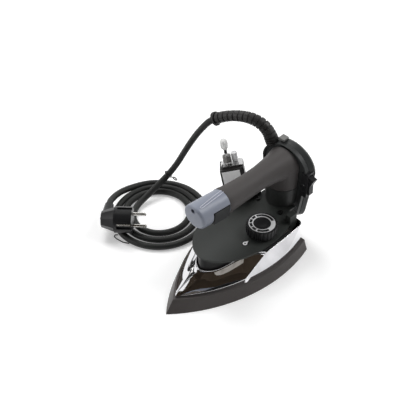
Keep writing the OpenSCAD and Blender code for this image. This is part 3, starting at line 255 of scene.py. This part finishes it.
relief_curve = [(-27.3, 112.5, 142.9), (-39, 107.7, 175.1), (-81, 97, 161.2), (-103.1, 87.5, 144.6)]
RIBS = 13
root_way = (Vector(relief_curve[1]) - Vector(relief_curve[0])).normalized()
relief_line = [Vector(relief_curve[0]) - 9 * root_way]
relief_radii = [7.9]
for ring_at in (-8.6, -5.1, -1.6):
    for ahead, radius in ((-0.05, 7.9), (0.05, 8.7), (0.35, 9.1), (2.0, 9.1), (2.3, 8.7), (2.4, 7.9)):
        relief_line.append(Vector(relief_curve[0]) + (ring_at + ahead) * root_way)
        relief_radii.append(radius)
for k in range(RIBS):
    for part, step in ((0.02, -0.5), (0.08, 0), (0.3, 0), (0.55, 0), (0.76, 0), (0.82, -0.5), (0.85, -1.25), (0.97, -1.25)):
        if k or part > 0.1:
            t = 0.965 * (k + part) / RIBS
            relief_line.append(bezier(relief_curve, t))
            relief_radii.append(6.4 + 2.4 * (1 - t) + 4 * max(0, t - 0.7) + step)
along = (Vector(relief_curve[3]) - Vector(relief_curve[2])).normalized()
for back, radius in ((3.4, 9.0), (3.0, 9.5), (0.5, 9.5), (0.1, 9.0), (0.0, 5.0)):
    relief_line.append(Vector(relief_curve[3]) - back * along)
    relief_radii.append(radius)
relief_rubber = finish("relief_rubber", (0.02, 0.019, 0.019), 0.4, shade=0.15, bump=0.05, specular=0.35)
bm = bmesh.new()
sweep(bm, relief_line, relief_radii, 28, Vector((0.3, -1, 0)))
bmesh.ops.recalc_face_normals(bm, faces=bm.faces)
settle("bend_relief", bm, relief_rubber, instead_of=("strain_relief",), sharp=28)


# Gland block: a grey moulded block that clamps the relief on top of the rear cover.
gland_grey = finish("gland_grey", (0.16, 0.16, 0.155), 0.42, shade=0.1, bump=0.05)
rounded("gland_clamp", "gland_block", gland_grey, 0.7)

# Soleplate: one thick aluminium casting, dark grey brown and satin, its sides ground at a slant
# up to a narrow top edge. The bright cover stands on it.
cast_grey = finish("cast_grey", (0.07, 0.063, 0.061), 0.42, metallic=0.25, shade=0.14, cloud=30, grain=1500,
                   bump=0.12, spread=0.08)
rounded("sole_casting", "soleplate", cast_grey, 0.9, segments=3, sharp=30)


# Bright cover: deep drawn chrome plated steel. A foot band stands on the sole. In front it sweeps
# up hollow to the black neck, and a sharp crease on each side divides it from the full side panel.
def arc_half(y, tip, wide, half):
    r = ((wide - tip) ** 2 + half ** 2) / (2 * half)
    return half - r + math.sqrt(r * r - (y - wide) ** 2)


def foot_at(y):
    return Vector((arc_half(y, -88, 48, 53.7), y, 17.5))


def rim_half(y):
    return 52.5 - ((y - 40) / 60) ** 2 * 2


def cove_station(u):
    top = bezier([(0, -46, 36.5), (32, -36, 36.5), (16, 8, 44.5), (51.5, 20, 55.9)], u)
    return foot_at(-88 + 79 * u), top, 0.65 if u < 0.03 else min(2.2, 1.1 + 9 * u), 3 + 4.5 * u


def side_station(v):
    y = 20 + 66 * v
    return foot_at(-9 + v * 101.5), Vector((rim_half(y), y, 55.9)), 1.0, 7.5


def corner_station(w):
    foot, half = foot_at(92.5), rim_half(86)
    c, s = math.cos(math.radians(90 * w)), math.sin(math.radians(90 * w))
    return (Vector((foot.x - 6 * (1 - c), foot.y + 6 * s, 17.5)),
            Vector((half - 7 * (1 - c), 86 + 7 * s, 55.9)), 1.0, 7.5)


def heel_station(h):
    foot, top, power, band = corner_station(1)
    return Vector((foot.x * (1 - h), foot.y, 17.5)), Vector((top.x * (1 - h), top.y, 55.9)), power, band


stations = [cove_station(i / 24) for i in range(25)]
stations += [side_station(i / 14) for i in range(15)]
stations += [corner_station(i / 5) for i in range(1, 6)] + [heel_station(i / 4) for i in range(1, 5)]
stations += [(Vector((-a.x, a.y, a.z)), Vector((-b.x, b.y, b.z)), p, h) for a, b, p, h in stations[-2:0:-1]]
LEVELS = 14
bm = bmesh.new()
loops = []
for level in range(-1, LEVELS + 1):
    ring = []
    for foot, top, power, band in stations:
        q = max(0, level) / LEVELS
        low = foot + Vector((0, 0, band))
        spot = low.lerp(top, q)
        spot.z = low.z + (top.z - low.z) * q ** power
        ring.append(bm.verts.new(foot if level < 0 else spot))
    loops.append([bm.edges.new((ring[i - 1], ring[i])) for i in range(len(ring))])
for low, high in zip(loops, loops[1:]):
    bmesh.ops.bridge_loops(bm, edges=low + high)
bmesh.ops.recalc_face_normals(bm, faces=bm.faces)
chrome = finish("chrome", (0.86, 0.86, 0.88), 0.045, metallic=1.0, shade=0.02, cloud=20, bump=0.0, spread=0.02)
bright_cover = settle("bright_cover", bm, chrome, instead_of=("base_cover",), sharp=40)
wall = bright_cover.modifiers.new("sheet", "SOLIDIFY")
wall.thickness = 0.9 * MM
wall.offset = -1
bm = bmesh.new()
for side in (1, -1):
    crease = []
    for k in range(15):
        foot, top, power, band = cove_station(1)
        low = foot + Vector((0, 0, band))
        spot = low.lerp(top, k / 14)
        spot.z = low.z + (top.z - low.z) * (k / 14) ** power
        crease.append(Vector((side * (spot.x - 0.25), spot.y, spot.z)))
    sweep(bm, crease, [0.6] * 15, 10, Vector((1, 0, 0)))
rim = [top + Vector((0, 0, 0.1)) for foot, top, power, band in stations]
sweep(bm, [*rim, rim[0]], [0.55] * (len(rim) + 1), 8, Vector((0, 0, 1)))
bmesh.ops.recalc_face_normals(bm, faces=bm.faces)
settle("cover_edges", bm, chrome, sharp=60)

# Neck: a black moulded collar between the bright cover and the deck, open inside.
neck_black = finish("neck_black", (0.012, 0.012, 0.012), 0.35, bump=0.03)
rounded("neck_collar", "neck_spacer", neck_black, 0.4)

# Deck: the black moulded plate that carries the handle, the dial and the valve, with two stacked
# lugs on each side near the heel and a hole for a screw beside each.
deck_black = finish("deck_black", (0.031, 0.034, 0.032), 0.5, shade=0.12, cloud=35, grain=3000, bump=0.1)
rounded("deck_moulding", "body_plate", deck_black, 0.8, segments=3)
screw_black = finish("screw_black", (0.01, 0.01, 0.01), 0.35, bump=0.02)
rounded("deck_socket_screws", "deck_screws", screw_black, 0.3)

# Pointer: a teardrop of white print on a thin oval pad, darker than the deck, in front of the dial.
print_white = finish("print_white", (0.78, 0.78, 0.78), 0.4, shade=0.04, bump=0.02)
rounded("dial_mark", "dial_pointer", print_white, 0.12)
bm = bmesh.new()
pad = bmesh.ops.create_circle(bm, cap_ends=True, segments=40, radius=4.2, matrix=Matrix.Translation(
    (25, 11.6, DECK + 0.02)) @ Matrix.Diagonal((1.0, 1.35, 1, 1)))["verts"]
grown = bmesh.ops.extrude_face_region(bm, geom=bm.faces[:])["geom"]
bmesh.ops.translate(bm, vec=(0, 0, 0.16), verts=[g for g in grown if isinstance(g, bmesh.types.BMVert)])
bmesh.ops.recalc_face_normals(bm, faces=bm.faces)
settle("mark_pad", bm, screw_black)

# Dial: a knurled black knob with a dished centre, and a bright ring set in its top whose black
# cells are plain steps of heat.
knob_black = finish("knob_black", (0.012, 0.012, 0.013), 0.36, bump=0.04)
rounded("heat_knob", "dial_knob", knob_black, 0.5, body="dial", segments=2)
ring_silver = finish("ring_silver", (0.74, 0.74, 0.75), 0.35, metallic=0.2, shade=0.06, bump=0.03, specular=0.5)
rounded("heat_ring", "dial_ring", ring_silver, 0.15, body="dial")
bm = bmesh.new()
for first, last in ((61, 161), (168, 191), (196, 220), (225, 250), (255, 280), (288, 348)):
    line = [bm.verts.new((r, 0, DECK + 15.17)) for r in (12.6, 16)]
    edge = bm.edges.new(line)
    bmesh.ops.rotate(bm, cent=(0, 0, 0), matrix=Matrix.Rotation(math.radians(first), 3, "Z"), verts=line)
    bmesh.ops.spin(bm, geom=[*line, edge], cent=(0, 0, 0), axis=(0, 0, 1), angle=math.radians(last - first),
                   steps=max(5, (last - first) // 5))
grown = bmesh.ops.extrude_face_region(bm, geom=bm.faces[:])["geom"]
bmesh.ops.translate(bm, vec=(0, 0, 0.14), verts=[g for g in grown if isinstance(g, bmesh.types.BMVert)])
bmesh.ops.translate(bm, vec=(25.5, 41, 0), verts=bm.verts)
bmesh.ops.recalc_face_normals(bm, faces=bm.faces)
settle("heat_cells", bm, knob_black, body="dial")

# Handle: a soft black shell. It is thin in the middle, swells to a round head against the rear
# flange, and comes down in a column onto the post's foot, all in one moulding.
handle_black = finish("handle_black", (0.06, 0.055, 0.054), 0.55, shade=0.1, cloud=25, grain=3500, bump=0.08)
grip_rows = [(-3, 66.1, 16.7, 16.7, -6.7), (12, 64.7, 16, 16, -4), (28, 63.6, 15.3, 15.3, -1.5),
             (43, 63, 15, 15, 0), (60, 62.5, 15.2, 15.2, 0), (72, 61.9, 16.2, 16.2, 0),
             (84, 61.1, 17.8, 17.6, 0), (96, 60.1, 20.4, 19.4, 0), (110.8, 59, 24.5, 22, 0)]
bm = bmesh.new()
before = None
grip_run = through(grip_rows, 4)
for i, (y, z, wide, high, tilt) in enumerate(grip_run):
    section = (Matrix.Translation((0, y, DECK + z)) @ Matrix.Rotation(math.radians(90 + tilt), 4, "X")
               @ Matrix.Diagonal((wide, high, 1, 1)))
    ring = bmesh.ops.create_circle(bm, cap_ends=i in (0, len(grip_run) - 1), segments=56, radius=1,
                                   matrix=section)["verts"]
    edges = list({e for v in ring for e in v.link_edges})
    if before:
        bmesh.ops.bridge_loops(bm, edges=before + edges)
    before = edges
column = bmesh.ops.create_cone(bm, cap_ends=True, segments=56, radius1=23, radius2=24.1, depth=29.6,
                               matrix=Matrix.Translation((0, 109, DECK + 29 + 14.8)))["verts"]
shell = list({f for v in column for f in v.link_faces} | {e for v in column for e in v.link_edges} | set(column))
cut = bmesh.ops.bisect_plane(bm, geom=shell, plane_co=(0, 110.8, 0), plane_no=(0, 1, 0), clear_outer=True)
bmesh.ops.holes_fill(bm, edges=[e for e in cut["geom_cut"] if isinstance(e, bmesh.types.BMEdge)], sides=0)
bmesh.ops.recalc_face_normals(bm, faces=bm.faces)
handle_shell = settle("handle_shell", bm, handle_black, instead_of=("handle_grip",), sharp=180)
blend = handle_shell.modifiers.new("one_moulding", "REMESH")
blend.mode = "VOXEL"
blend.voxel_size = 0.8 * MM
blend.use_smooth_shade = True
even = handle_shell.modifiers.new("fillet", "SMOOTH")
even.factor = 0.5
even.iterations = 10

# Post's foot: the lower half of the rear column, a darker moulding screwed to the deck.
foot_black = finish("foot_black", (0.034, 0.036, 0.035), 0.45, shade=0.1, bump=0.06)
rounded("post_foot", "handle_post", foot_black, 0.5)

# Nose cap: a lavender grey cap on the handle's front end, its face slanted and rounded off all
# round, with a screw hole high in the face, a moulded ridge along it and an opening for the lever.
in_nose = Matrix.Translation((0, -3, DECK + 66.1)) @ Matrix.Rotation(math.radians(-6.7), 4, "X")
nose_grey = finish("nose_grey", (0.22, 0.24, 0.295), 0.34, shade=0.07, cloud=30, bump=0.05, specular=0.4)
NOSE_R = 16.7
SHOULDER = 4.2
face_tilt = math.tan(math.radians(11))
bm = bmesh.new()
before = None
nose_sections = [(0.15, NOSE_R - 0.5, 0.0), (-0.4, NOSE_R, 0.0), (-24, NOSE_R, 0.0), (-40, NOSE_R, 0.6)]
nose_sections += [(-51.5 + SHOULDER * (1 - math.sin(a)), NOSE_R - SHOULDER * (1 - math.cos(a)), 1.0)
                  for a in [math.radians(10 * k) for k in range(0, 10)]]
for i, (y, radius, lean) in enumerate(nose_sections):
    ring = bmesh.ops.create_circle(bm, cap_ends=i in (0, len(nose_sections) - 1), segments=72, radius=radius,
                                   matrix=Matrix.Rotation(math.radians(90), 4, "X"))["verts"]
    for v in ring:
        v.co.y = y - lean * face_tilt * v.co.z
    edges = list({e for v in ring for e in v.link_edges})
    if before:
        bmesh.ops.bridge_loops(bm, edges=before + edges)
    before = edges
bmesh.ops.recalc_face_normals(bm, faces=bm.faces)
bmesh.ops.transform(bm, matrix=in_nose, verts=bm.verts)
nose_shell = settle("nose_shell", bm, nose_grey, instead_of=("nose_cap",), sharp=30)
bm = bmesh.new()
bmesh.ops.create_cube(bm, size=1, matrix=Matrix.Translation((18.4, -20, -2.6)) @ Matrix.Diagonal((20, 28.4, 17.8, 1)))
bmesh.ops.create_cone(bm, cap_ends=True, segments=40, radius1=3.1, radius2=3.1, depth=14,
                      matrix=Matrix.Translation((0, -52, 10.5)) @ Matrix.Rotation(math.radians(90), 4, "X"))
bmesh.ops.transform(bm, matrix=in_nose, verts=bm.verts)
bmesh.ops.scale(bm, vec=(MM, MM, MM), verts=bm.verts)
cutter_mesh = bpy.data.meshes.new("nose_cutter")
bm.to_mesh(cutter_mesh)
bm.free()
nose_cutter = bpy.data.objects.new("nose_cutter", cutter_mesh)
scene.collection.objects.link(nose_cutter)
opening = nose_shell.modifiers.new("openings", "BOOLEAN")
opening.object = nose_cutter
opening.solver = "EXACT"
bpy.context.view_layer.update()
cut_mesh = bpy.data.meshes.new_from_object(nose_shell.evaluated_get(bpy.context.evaluated_depsgraph_get()))
nose_shell.modifiers.clear()
nose_shell.data = cut_mesh
bpy.data.objects.remove(nose_cutter)
soft = nose_shell.modifiers.new("edges", "BEVEL")
soft.width = 0.35 * MM
soft.segments = 2
soft.limit_method = "ANGLE"
soft.angle_limit = math.radians(32)
soft.harden_normals = True
rounded("nose_fixing", "nose_screw", screw_black, 0.2)
bm = bmesh.new()
ridge = [(-5, -5), (-20, 2.4), (-35, 9.8), (-45, 14.8), (-47, 17.2), (-47.4, 20), (-46.8, 22.8), (-45, 24.2),
         (-35, 20.2), (-20, 14.2), (-5, 8)]
ridge_line = [in_nose @ Vector((16.75 * math.sin(math.radians(turn)), y, 16.75 * math.cos(math.radians(turn))))
              for y, turn in ridge]
sweep(bm, ridge_line, [0.42] * len(ridge), 8, Vector((0, 0, 1)))
bmesh.ops.recalc_face_normals(bm, faces=bm.faces)
# The ridge bead is coloured much lighter than the cap around it: a painted highlight along the bead.
ridge_painted_highlight = finish("ridge_painted_highlight", (0.55, 0.56, 0.63), 0.3, bump=0.0)
settle("nose_ridge", bm, ridge_painted_highlight, sharp=60)
bm = bmesh.new()
lip = [bm.verts.new((r, y, 0)) for r, y in ((16.5, 1.5), (17, 1.5), (17, -5.3), (16.85, -5.55), (16.5, -5.55))]
lip_edges = [bm.edges.new((lip[i - 1], lip[i])) for i in range(5)]
bmesh.ops.spin(bm, geom=[*lip, *lip_edges], cent=(0, 0, 0), axis=(0, 1, 0), angle=2 * math.pi, steps=64,
               use_merge=True)
bmesh.ops.recalc_face_normals(bm, faces=bm.faces)
bmesh.ops.transform(bm, matrix=in_nose, verts=bm.verts)
settle("grip_lip", bm, handle_black, sharp=50)
lever_black = finish("lever_black", (0.006, 0.007, 0.008), 0.42, bump=0.03)
rounded("steam_button", "steam_lever", lever_black, 0.6, body="steam_lever_body", segments=3)

# Rear flange and rear cover: the arched black back of the handle, a slab with a flared cover
# screwed on behind it. It holds the mains terminals and the rocker switch on the dial's side.
back_black = finish("back_black", (0.029, 0.031, 0.031), 0.42, shade=0.12, bump=0.07)
rounded("back_flange", "rear_flange", back_black, 0.7, segments=3)
rounded("back_cover", "rear_cover", back_black, 0.9, segments=3)
steel_dull = finish("steel_dull", (0.4, 0.4, 0.4), 0.35, metallic=1.0, bump=0.04)
rounded("back_screws", "rear_cover_screws", steel_dull, 0.2)
switch_black = finish("switch_black", (0.016, 0.016, 0.017), 0.3, bump=0.02)
rounded("switch_surround", "switch_frame", switch_black, 0.5)
rounded("switch_rocker", "rocker", switch_black, 0.6, body="rocker_body", segments=3)

# Steam valve: a solenoid that leans outward on the deck's other side. Its black coil sits in a
# bright yoke, with a bare white label, a grey hex nut, a clear inlet bulb on a black stem
# and a bright flow knob.
in_valve = (Matrix.Translation((-44.4, 66.7, DECK)) @ Matrix.Rotation(math.radians(-16), 4, "Y")
            @ Matrix.Rotation(math.radians(45), 4, "Z"))
coil_black = finish("coil_black", (0.013, 0.012, 0.012), 0.32, bump=0.03)
rounded("solenoid_coil", "valve_coil", coil_black, 2.6, segments=4)
zinc = finish("zinc", (0.6, 0.6, 0.6), 0.27, metallic=1.0, shade=0.1, bump=0.05)
rounded("solenoid_yoke", "valve_yoke", zinc, 0.4)
bm = bmesh.new()
bmesh.ops.create_cube(bm, size=1, matrix=Matrix.Translation((17, 0, 33.2)) @ Matrix.Diagonal((5.2, 27, 30.4, 1)))
bmesh.ops.bevel(bm, geom=bm.edges[:], offset=2, segments=3, affect="EDGES", profile=0.5)
bmesh.ops.recalc_face_normals(bm, faces=bm.faces)
bmesh.ops.transform(bm, matrix=in_valve, verts=bm.verts)
settle("coil_side", bm, coil_black)
label_white = finish("label_white", (0.9, 0.9, 0.9), 0.4, shade=0.02, bump=0.01)
rounded("solenoid_label", "valve_label", label_white, 0.1)
nut_grey = finish("nut_grey", (0.17, 0.165, 0.16), 0.38, metallic=0.5, bump=0.05)
rounded("valve_hex_nut", "valve_nut", nut_grey, 0.5)
brass = finish("brass", (0.55, 0.4, 0.16), 0.3, metallic=1.0, bump=0.05)
rounded("valve_base", "valve_body", brass, 0.4)
rounded("valve_foot", "valve_bracket", back_black, 0.5)
rounded("flow_screw", "flow_knob", finish("knob_satin", (0.84, 0.84, 0.85), 0.25, bump=0.0, specular=0.6), 0.4,
        body="flow_knob_body", segments=3)
bulb_clear = finish("bulb_clear", (0.93, 0.93, 0.92), 0.1, shade=0.03, bump=0.0, coat=0.4, specular=0.5)
bulb_clear.node_tree.nodes["Principled BSDF"].inputs["Transmission Weight"].default_value = 0.3
bm = bmesh.new()
bulb_profile = [(0, 0), (2.1, 0), (2.1, 4.4), (1.75, 5), (1.75, 13.5), (3.2, 14.6), (4.6, 17), (5, 19), (5, 24),
                (4.5, 26.5), (3, 28.3), (0, 29)]
chain = [bm.verts.new((r, 0, z)) for r, z in bulb_profile]
links = [bm.edges.new(pair) for pair in zip(chain, chain[1:])]
bmesh.ops.spin(bm, geom=[*chain, *links], cent=(0, 0, 0), axis=(0, 0, 1), angle=2 * math.pi, steps=40, use_merge=True)
bmesh.ops.remove_doubles(bm, verts=bm.verts, dist=0.001)
bmesh.ops.recalc_face_normals(bm, faces=bm.faces)
bmesh.ops.transform(bm, matrix=in_valve @ Matrix.Translation((0, 0, 57.7)), verts=bm.verts)
settle("inlet_bulb", bm, bulb_clear, instead_of=("inlet_barb",), sharp=50)
bm = bmesh.new()
bmesh.ops.create_cone(bm, cap_ends=True, segments=32, radius1=1.95, radius2=1.95, depth=5.5,
                      matrix=in_valve @ Matrix.Translation((0, 0, 66 + 2.75)))
settle("inlet_stem", bm, neck_black)

# Inner parts: they aren't seen from outside but each has its own finish.
inner_finishes = {
    "element_brown": (finish("element_brown", (0.13, 0.115, 0.1), 0.4, metallic=0.8), ("heating_element",)),
    "inner_zinc": (zinc, ("element_terminals", "chamber_screws", "deck_studs", "chamber_cover", "thermostat_shaft",
                          "handle_bolts", "lever_pin", "lever_spring", "rocker_pin", "valve_core_tube",
                          "valve_plunger", "plunger_spring")),
    "seal_red": (finish("seal_red", (0.2, 0.06, 0.03), 0.7), ("chamber_gasket",)),
    # The insulation sheet is coloured near black: painted shade where it shows through a gap between parts.
    "mica_painted_shade": (finish("mica_painted_shade", (0.05, 0.045, 0.04), 0.6, shade=0.2), ("insulation_sheet",)),
    "glaze": (finish("glaze", (0.75, 0.7, 0.6), 0.2, shade=0.05), ("thermostat", "terminal_block")),
    "inner_black": (back_black, ("thermal_cutout", "microswitch")),
    "lead_red": (finish("lead_red", (0.4, 0.02, 0.02), 0.45), ("switch_leads", "microswitch_button")),
    "copper": (finish("copper", (0.6, 0.27, 0.12), 0.3, metallic=1.0), ("steam_pipe",)),
}
for material, names in inner_finishes.values():
    for name in names:
        mesh = nodes[name].data
        mesh.materials.clear()
        mesh.materials.append(material)

# Studio: a white floor that fades into a white surround, two soft lamps, and cards that only the
# bright parts mirror: a dark roof, a dark wall behind the camera and a grey strip on the right.
bm = bmesh.new()
bmesh.ops.create_grid(bm, x_segments=1, y_segments=1, size=6)
floor_mesh = bpy.data.meshes.new("studio_floor")
bm.to_mesh(floor_mesh)
bm.free()
studio_floor = bpy.data.objects.new("studio_floor", floor_mesh)
scene.collection.objects.link(studio_floor)
floor_white = bpy.data.materials.new("floor_white")
floor_white.use_nodes = True
tree = floor_white.node_tree
tree.nodes.remove(tree.nodes["Principled BSDF"])
paper = tree.nodes.new("ShaderNodeBsdfDiffuse")
paper.inputs["Color"].default_value = (0.86, 0.86, 0.86, 1)
glow = tree.nodes.new("ShaderNodeEmission")
glow.inputs["Color"].default_value = (1, 1, 1, 1)
rays = tree.nodes.new("ShaderNodeLightPath")
seen = tree.nodes.new("ShaderNodeMath")
seen.operation = "MAXIMUM"
tree.links.new(rays.outputs["Is Camera Ray"], seen.inputs[0])
tree.links.new(rays.outputs["Is Glossy Ray"], seen.inputs[1])
level = tree.nodes.new("ShaderNodeMath")
level.operation = "MULTIPLY"
level.inputs[1].default_value = 0.27
tree.links.new(seen.outputs[0], level.inputs[0])
tree.links.new(level.outputs[0], glow.inputs["Strength"])
both = tree.nodes.new("ShaderNodeAddShader")
tree.links.new(paper.outputs[0], both.inputs[0])
tree.links.new(glow.outputs[0], both.inputs[1])
tree.links.new(both.outputs[0], tree.nodes["Material Output"].inputs["Surface"])
floor_mesh.materials.append(floor_white)

surround = bpy.data.worlds.new("surround")
scene.world = surround
surround.use_nodes = True
tree = surround.node_tree
sky = tree.nodes["Background"]
rays = tree.nodes.new("ShaderNodeLightPath")
seen = tree.nodes.new("ShaderNodeMath")
seen.operation = "MAXIMUM"
tree.links.new(rays.outputs["Is Camera Ray"], seen.inputs[0])
tree.links.new(rays.outputs["Is Glossy Ray"], seen.inputs[1])
seen_more = tree.nodes.new("ShaderNodeMath")
seen_more.operation = "MAXIMUM"
tree.links.new(seen.outputs[0], seen_more.inputs[0])
tree.links.new(rays.outputs["Is Transmission Ray"], seen_more.inputs[1])
level = tree.nodes.new("ShaderNodeMapRange")
level.inputs["To Min"].default_value = 0.24
level.inputs["To Max"].default_value = 1.0
tree.links.new(seen_more.outputs[0], level.inputs["Value"])
tree.links.new(level.outputs[0], sky.inputs["Strength"])
sky.inputs["Color"].default_value = (1, 1, 1, 1)

for name, spot, size, power in (("soft_left", (-0.95, 0.3, 1.6), 0.9, 19), ("soft_back", (0.7, 1.0, 1.5), 0.8, 16),
                                ("soft_front", (-0.7, -1.1, 1.0), 0.9, 5)):
    lamp = bpy.data.lights.new(name, "AREA")
    lamp.size = size
    lamp.energy = power
    hung = bpy.data.objects.new(name, lamp)
    scene.collection.objects.link(hung)
    hung.matrix_world = Matrix.Translation(spot) @ (Vector(spot) - Vector((0, 0, 0.05))).to_track_quat(
        "Z", "Y").to_matrix().to_4x4()

card_brown = finish("card_brown", (0.03, 0.02, 0.012), 0.9, bump=0.0)
card_stone = finish("card_stone", (0.36, 0.34, 0.31), 0.9, shade=0.6, cloud=7, bump=0.0)
# The grey strip glows faintly and only mirror rays see it: a painted reflection of the table beside the iron, shown
# on the cover's side panel.
grey_glow_card = finish("grey_glow_card", (0.7, 0.69, 0.72), 0.9, shade=0.5, cloud=26, bump=0.0)
grey_glow_card.node_tree.nodes["Principled BSDF"].inputs["Emission Color"].default_value = (1, 1, 1, 1)
grey_glow_card.node_tree.nodes["Principled BSDF"].inputs["Emission Strength"].default_value = 0.28
for name, corners, finish_of in (
        ("roof_card", [(1.7, 0, 1.2), (0, 1.7, 1.2), (-1.7, 0, 1.2), (0, -1.7, 1.2)], card_brown),
        ("front_card", [(1.28, -0.78, 0), (1.28, -0.78, 1.6), (-0.13, -1.5, 1.6), (-0.13, -1.5, 0)], card_brown),
        ("high_card", [(1.28, -0.78, 0.5), (1.28, -0.78, 1.6), (1.5, 0, 1.6), (1.5, 0, 0.5)], card_brown),
        ("mid_card", [(1.28, -0.78, 0), (1.28, -0.78, 0.5), (1.5, 0, 0.5), (1.5, 0, 0)], card_stone),
        ("side_card", [(0.072, -0.08, 0.001), (0.3, -0.04, 0.001), (0.3, 0.3, 0.001), (0.062, 0.26, 0.001)], grey_glow_card)):
    bm = bmesh.new()
    bmesh.ops.contextual_create(bm, geom=[bm.verts.new(corner) for corner in corners])
    card_mesh = bpy.data.meshes.new(name)
    bm.to_mesh(card_mesh)
    bm.free()
    card_mesh.materials.append(finish_of)
    card = bpy.data.objects.new(name, card_mesh)
    scene.collection.objects.link(card)
    card.visible_camera = False
    card.visible_diffuse = False
    card.visible_shadow = False
    card.visible_transmission = False
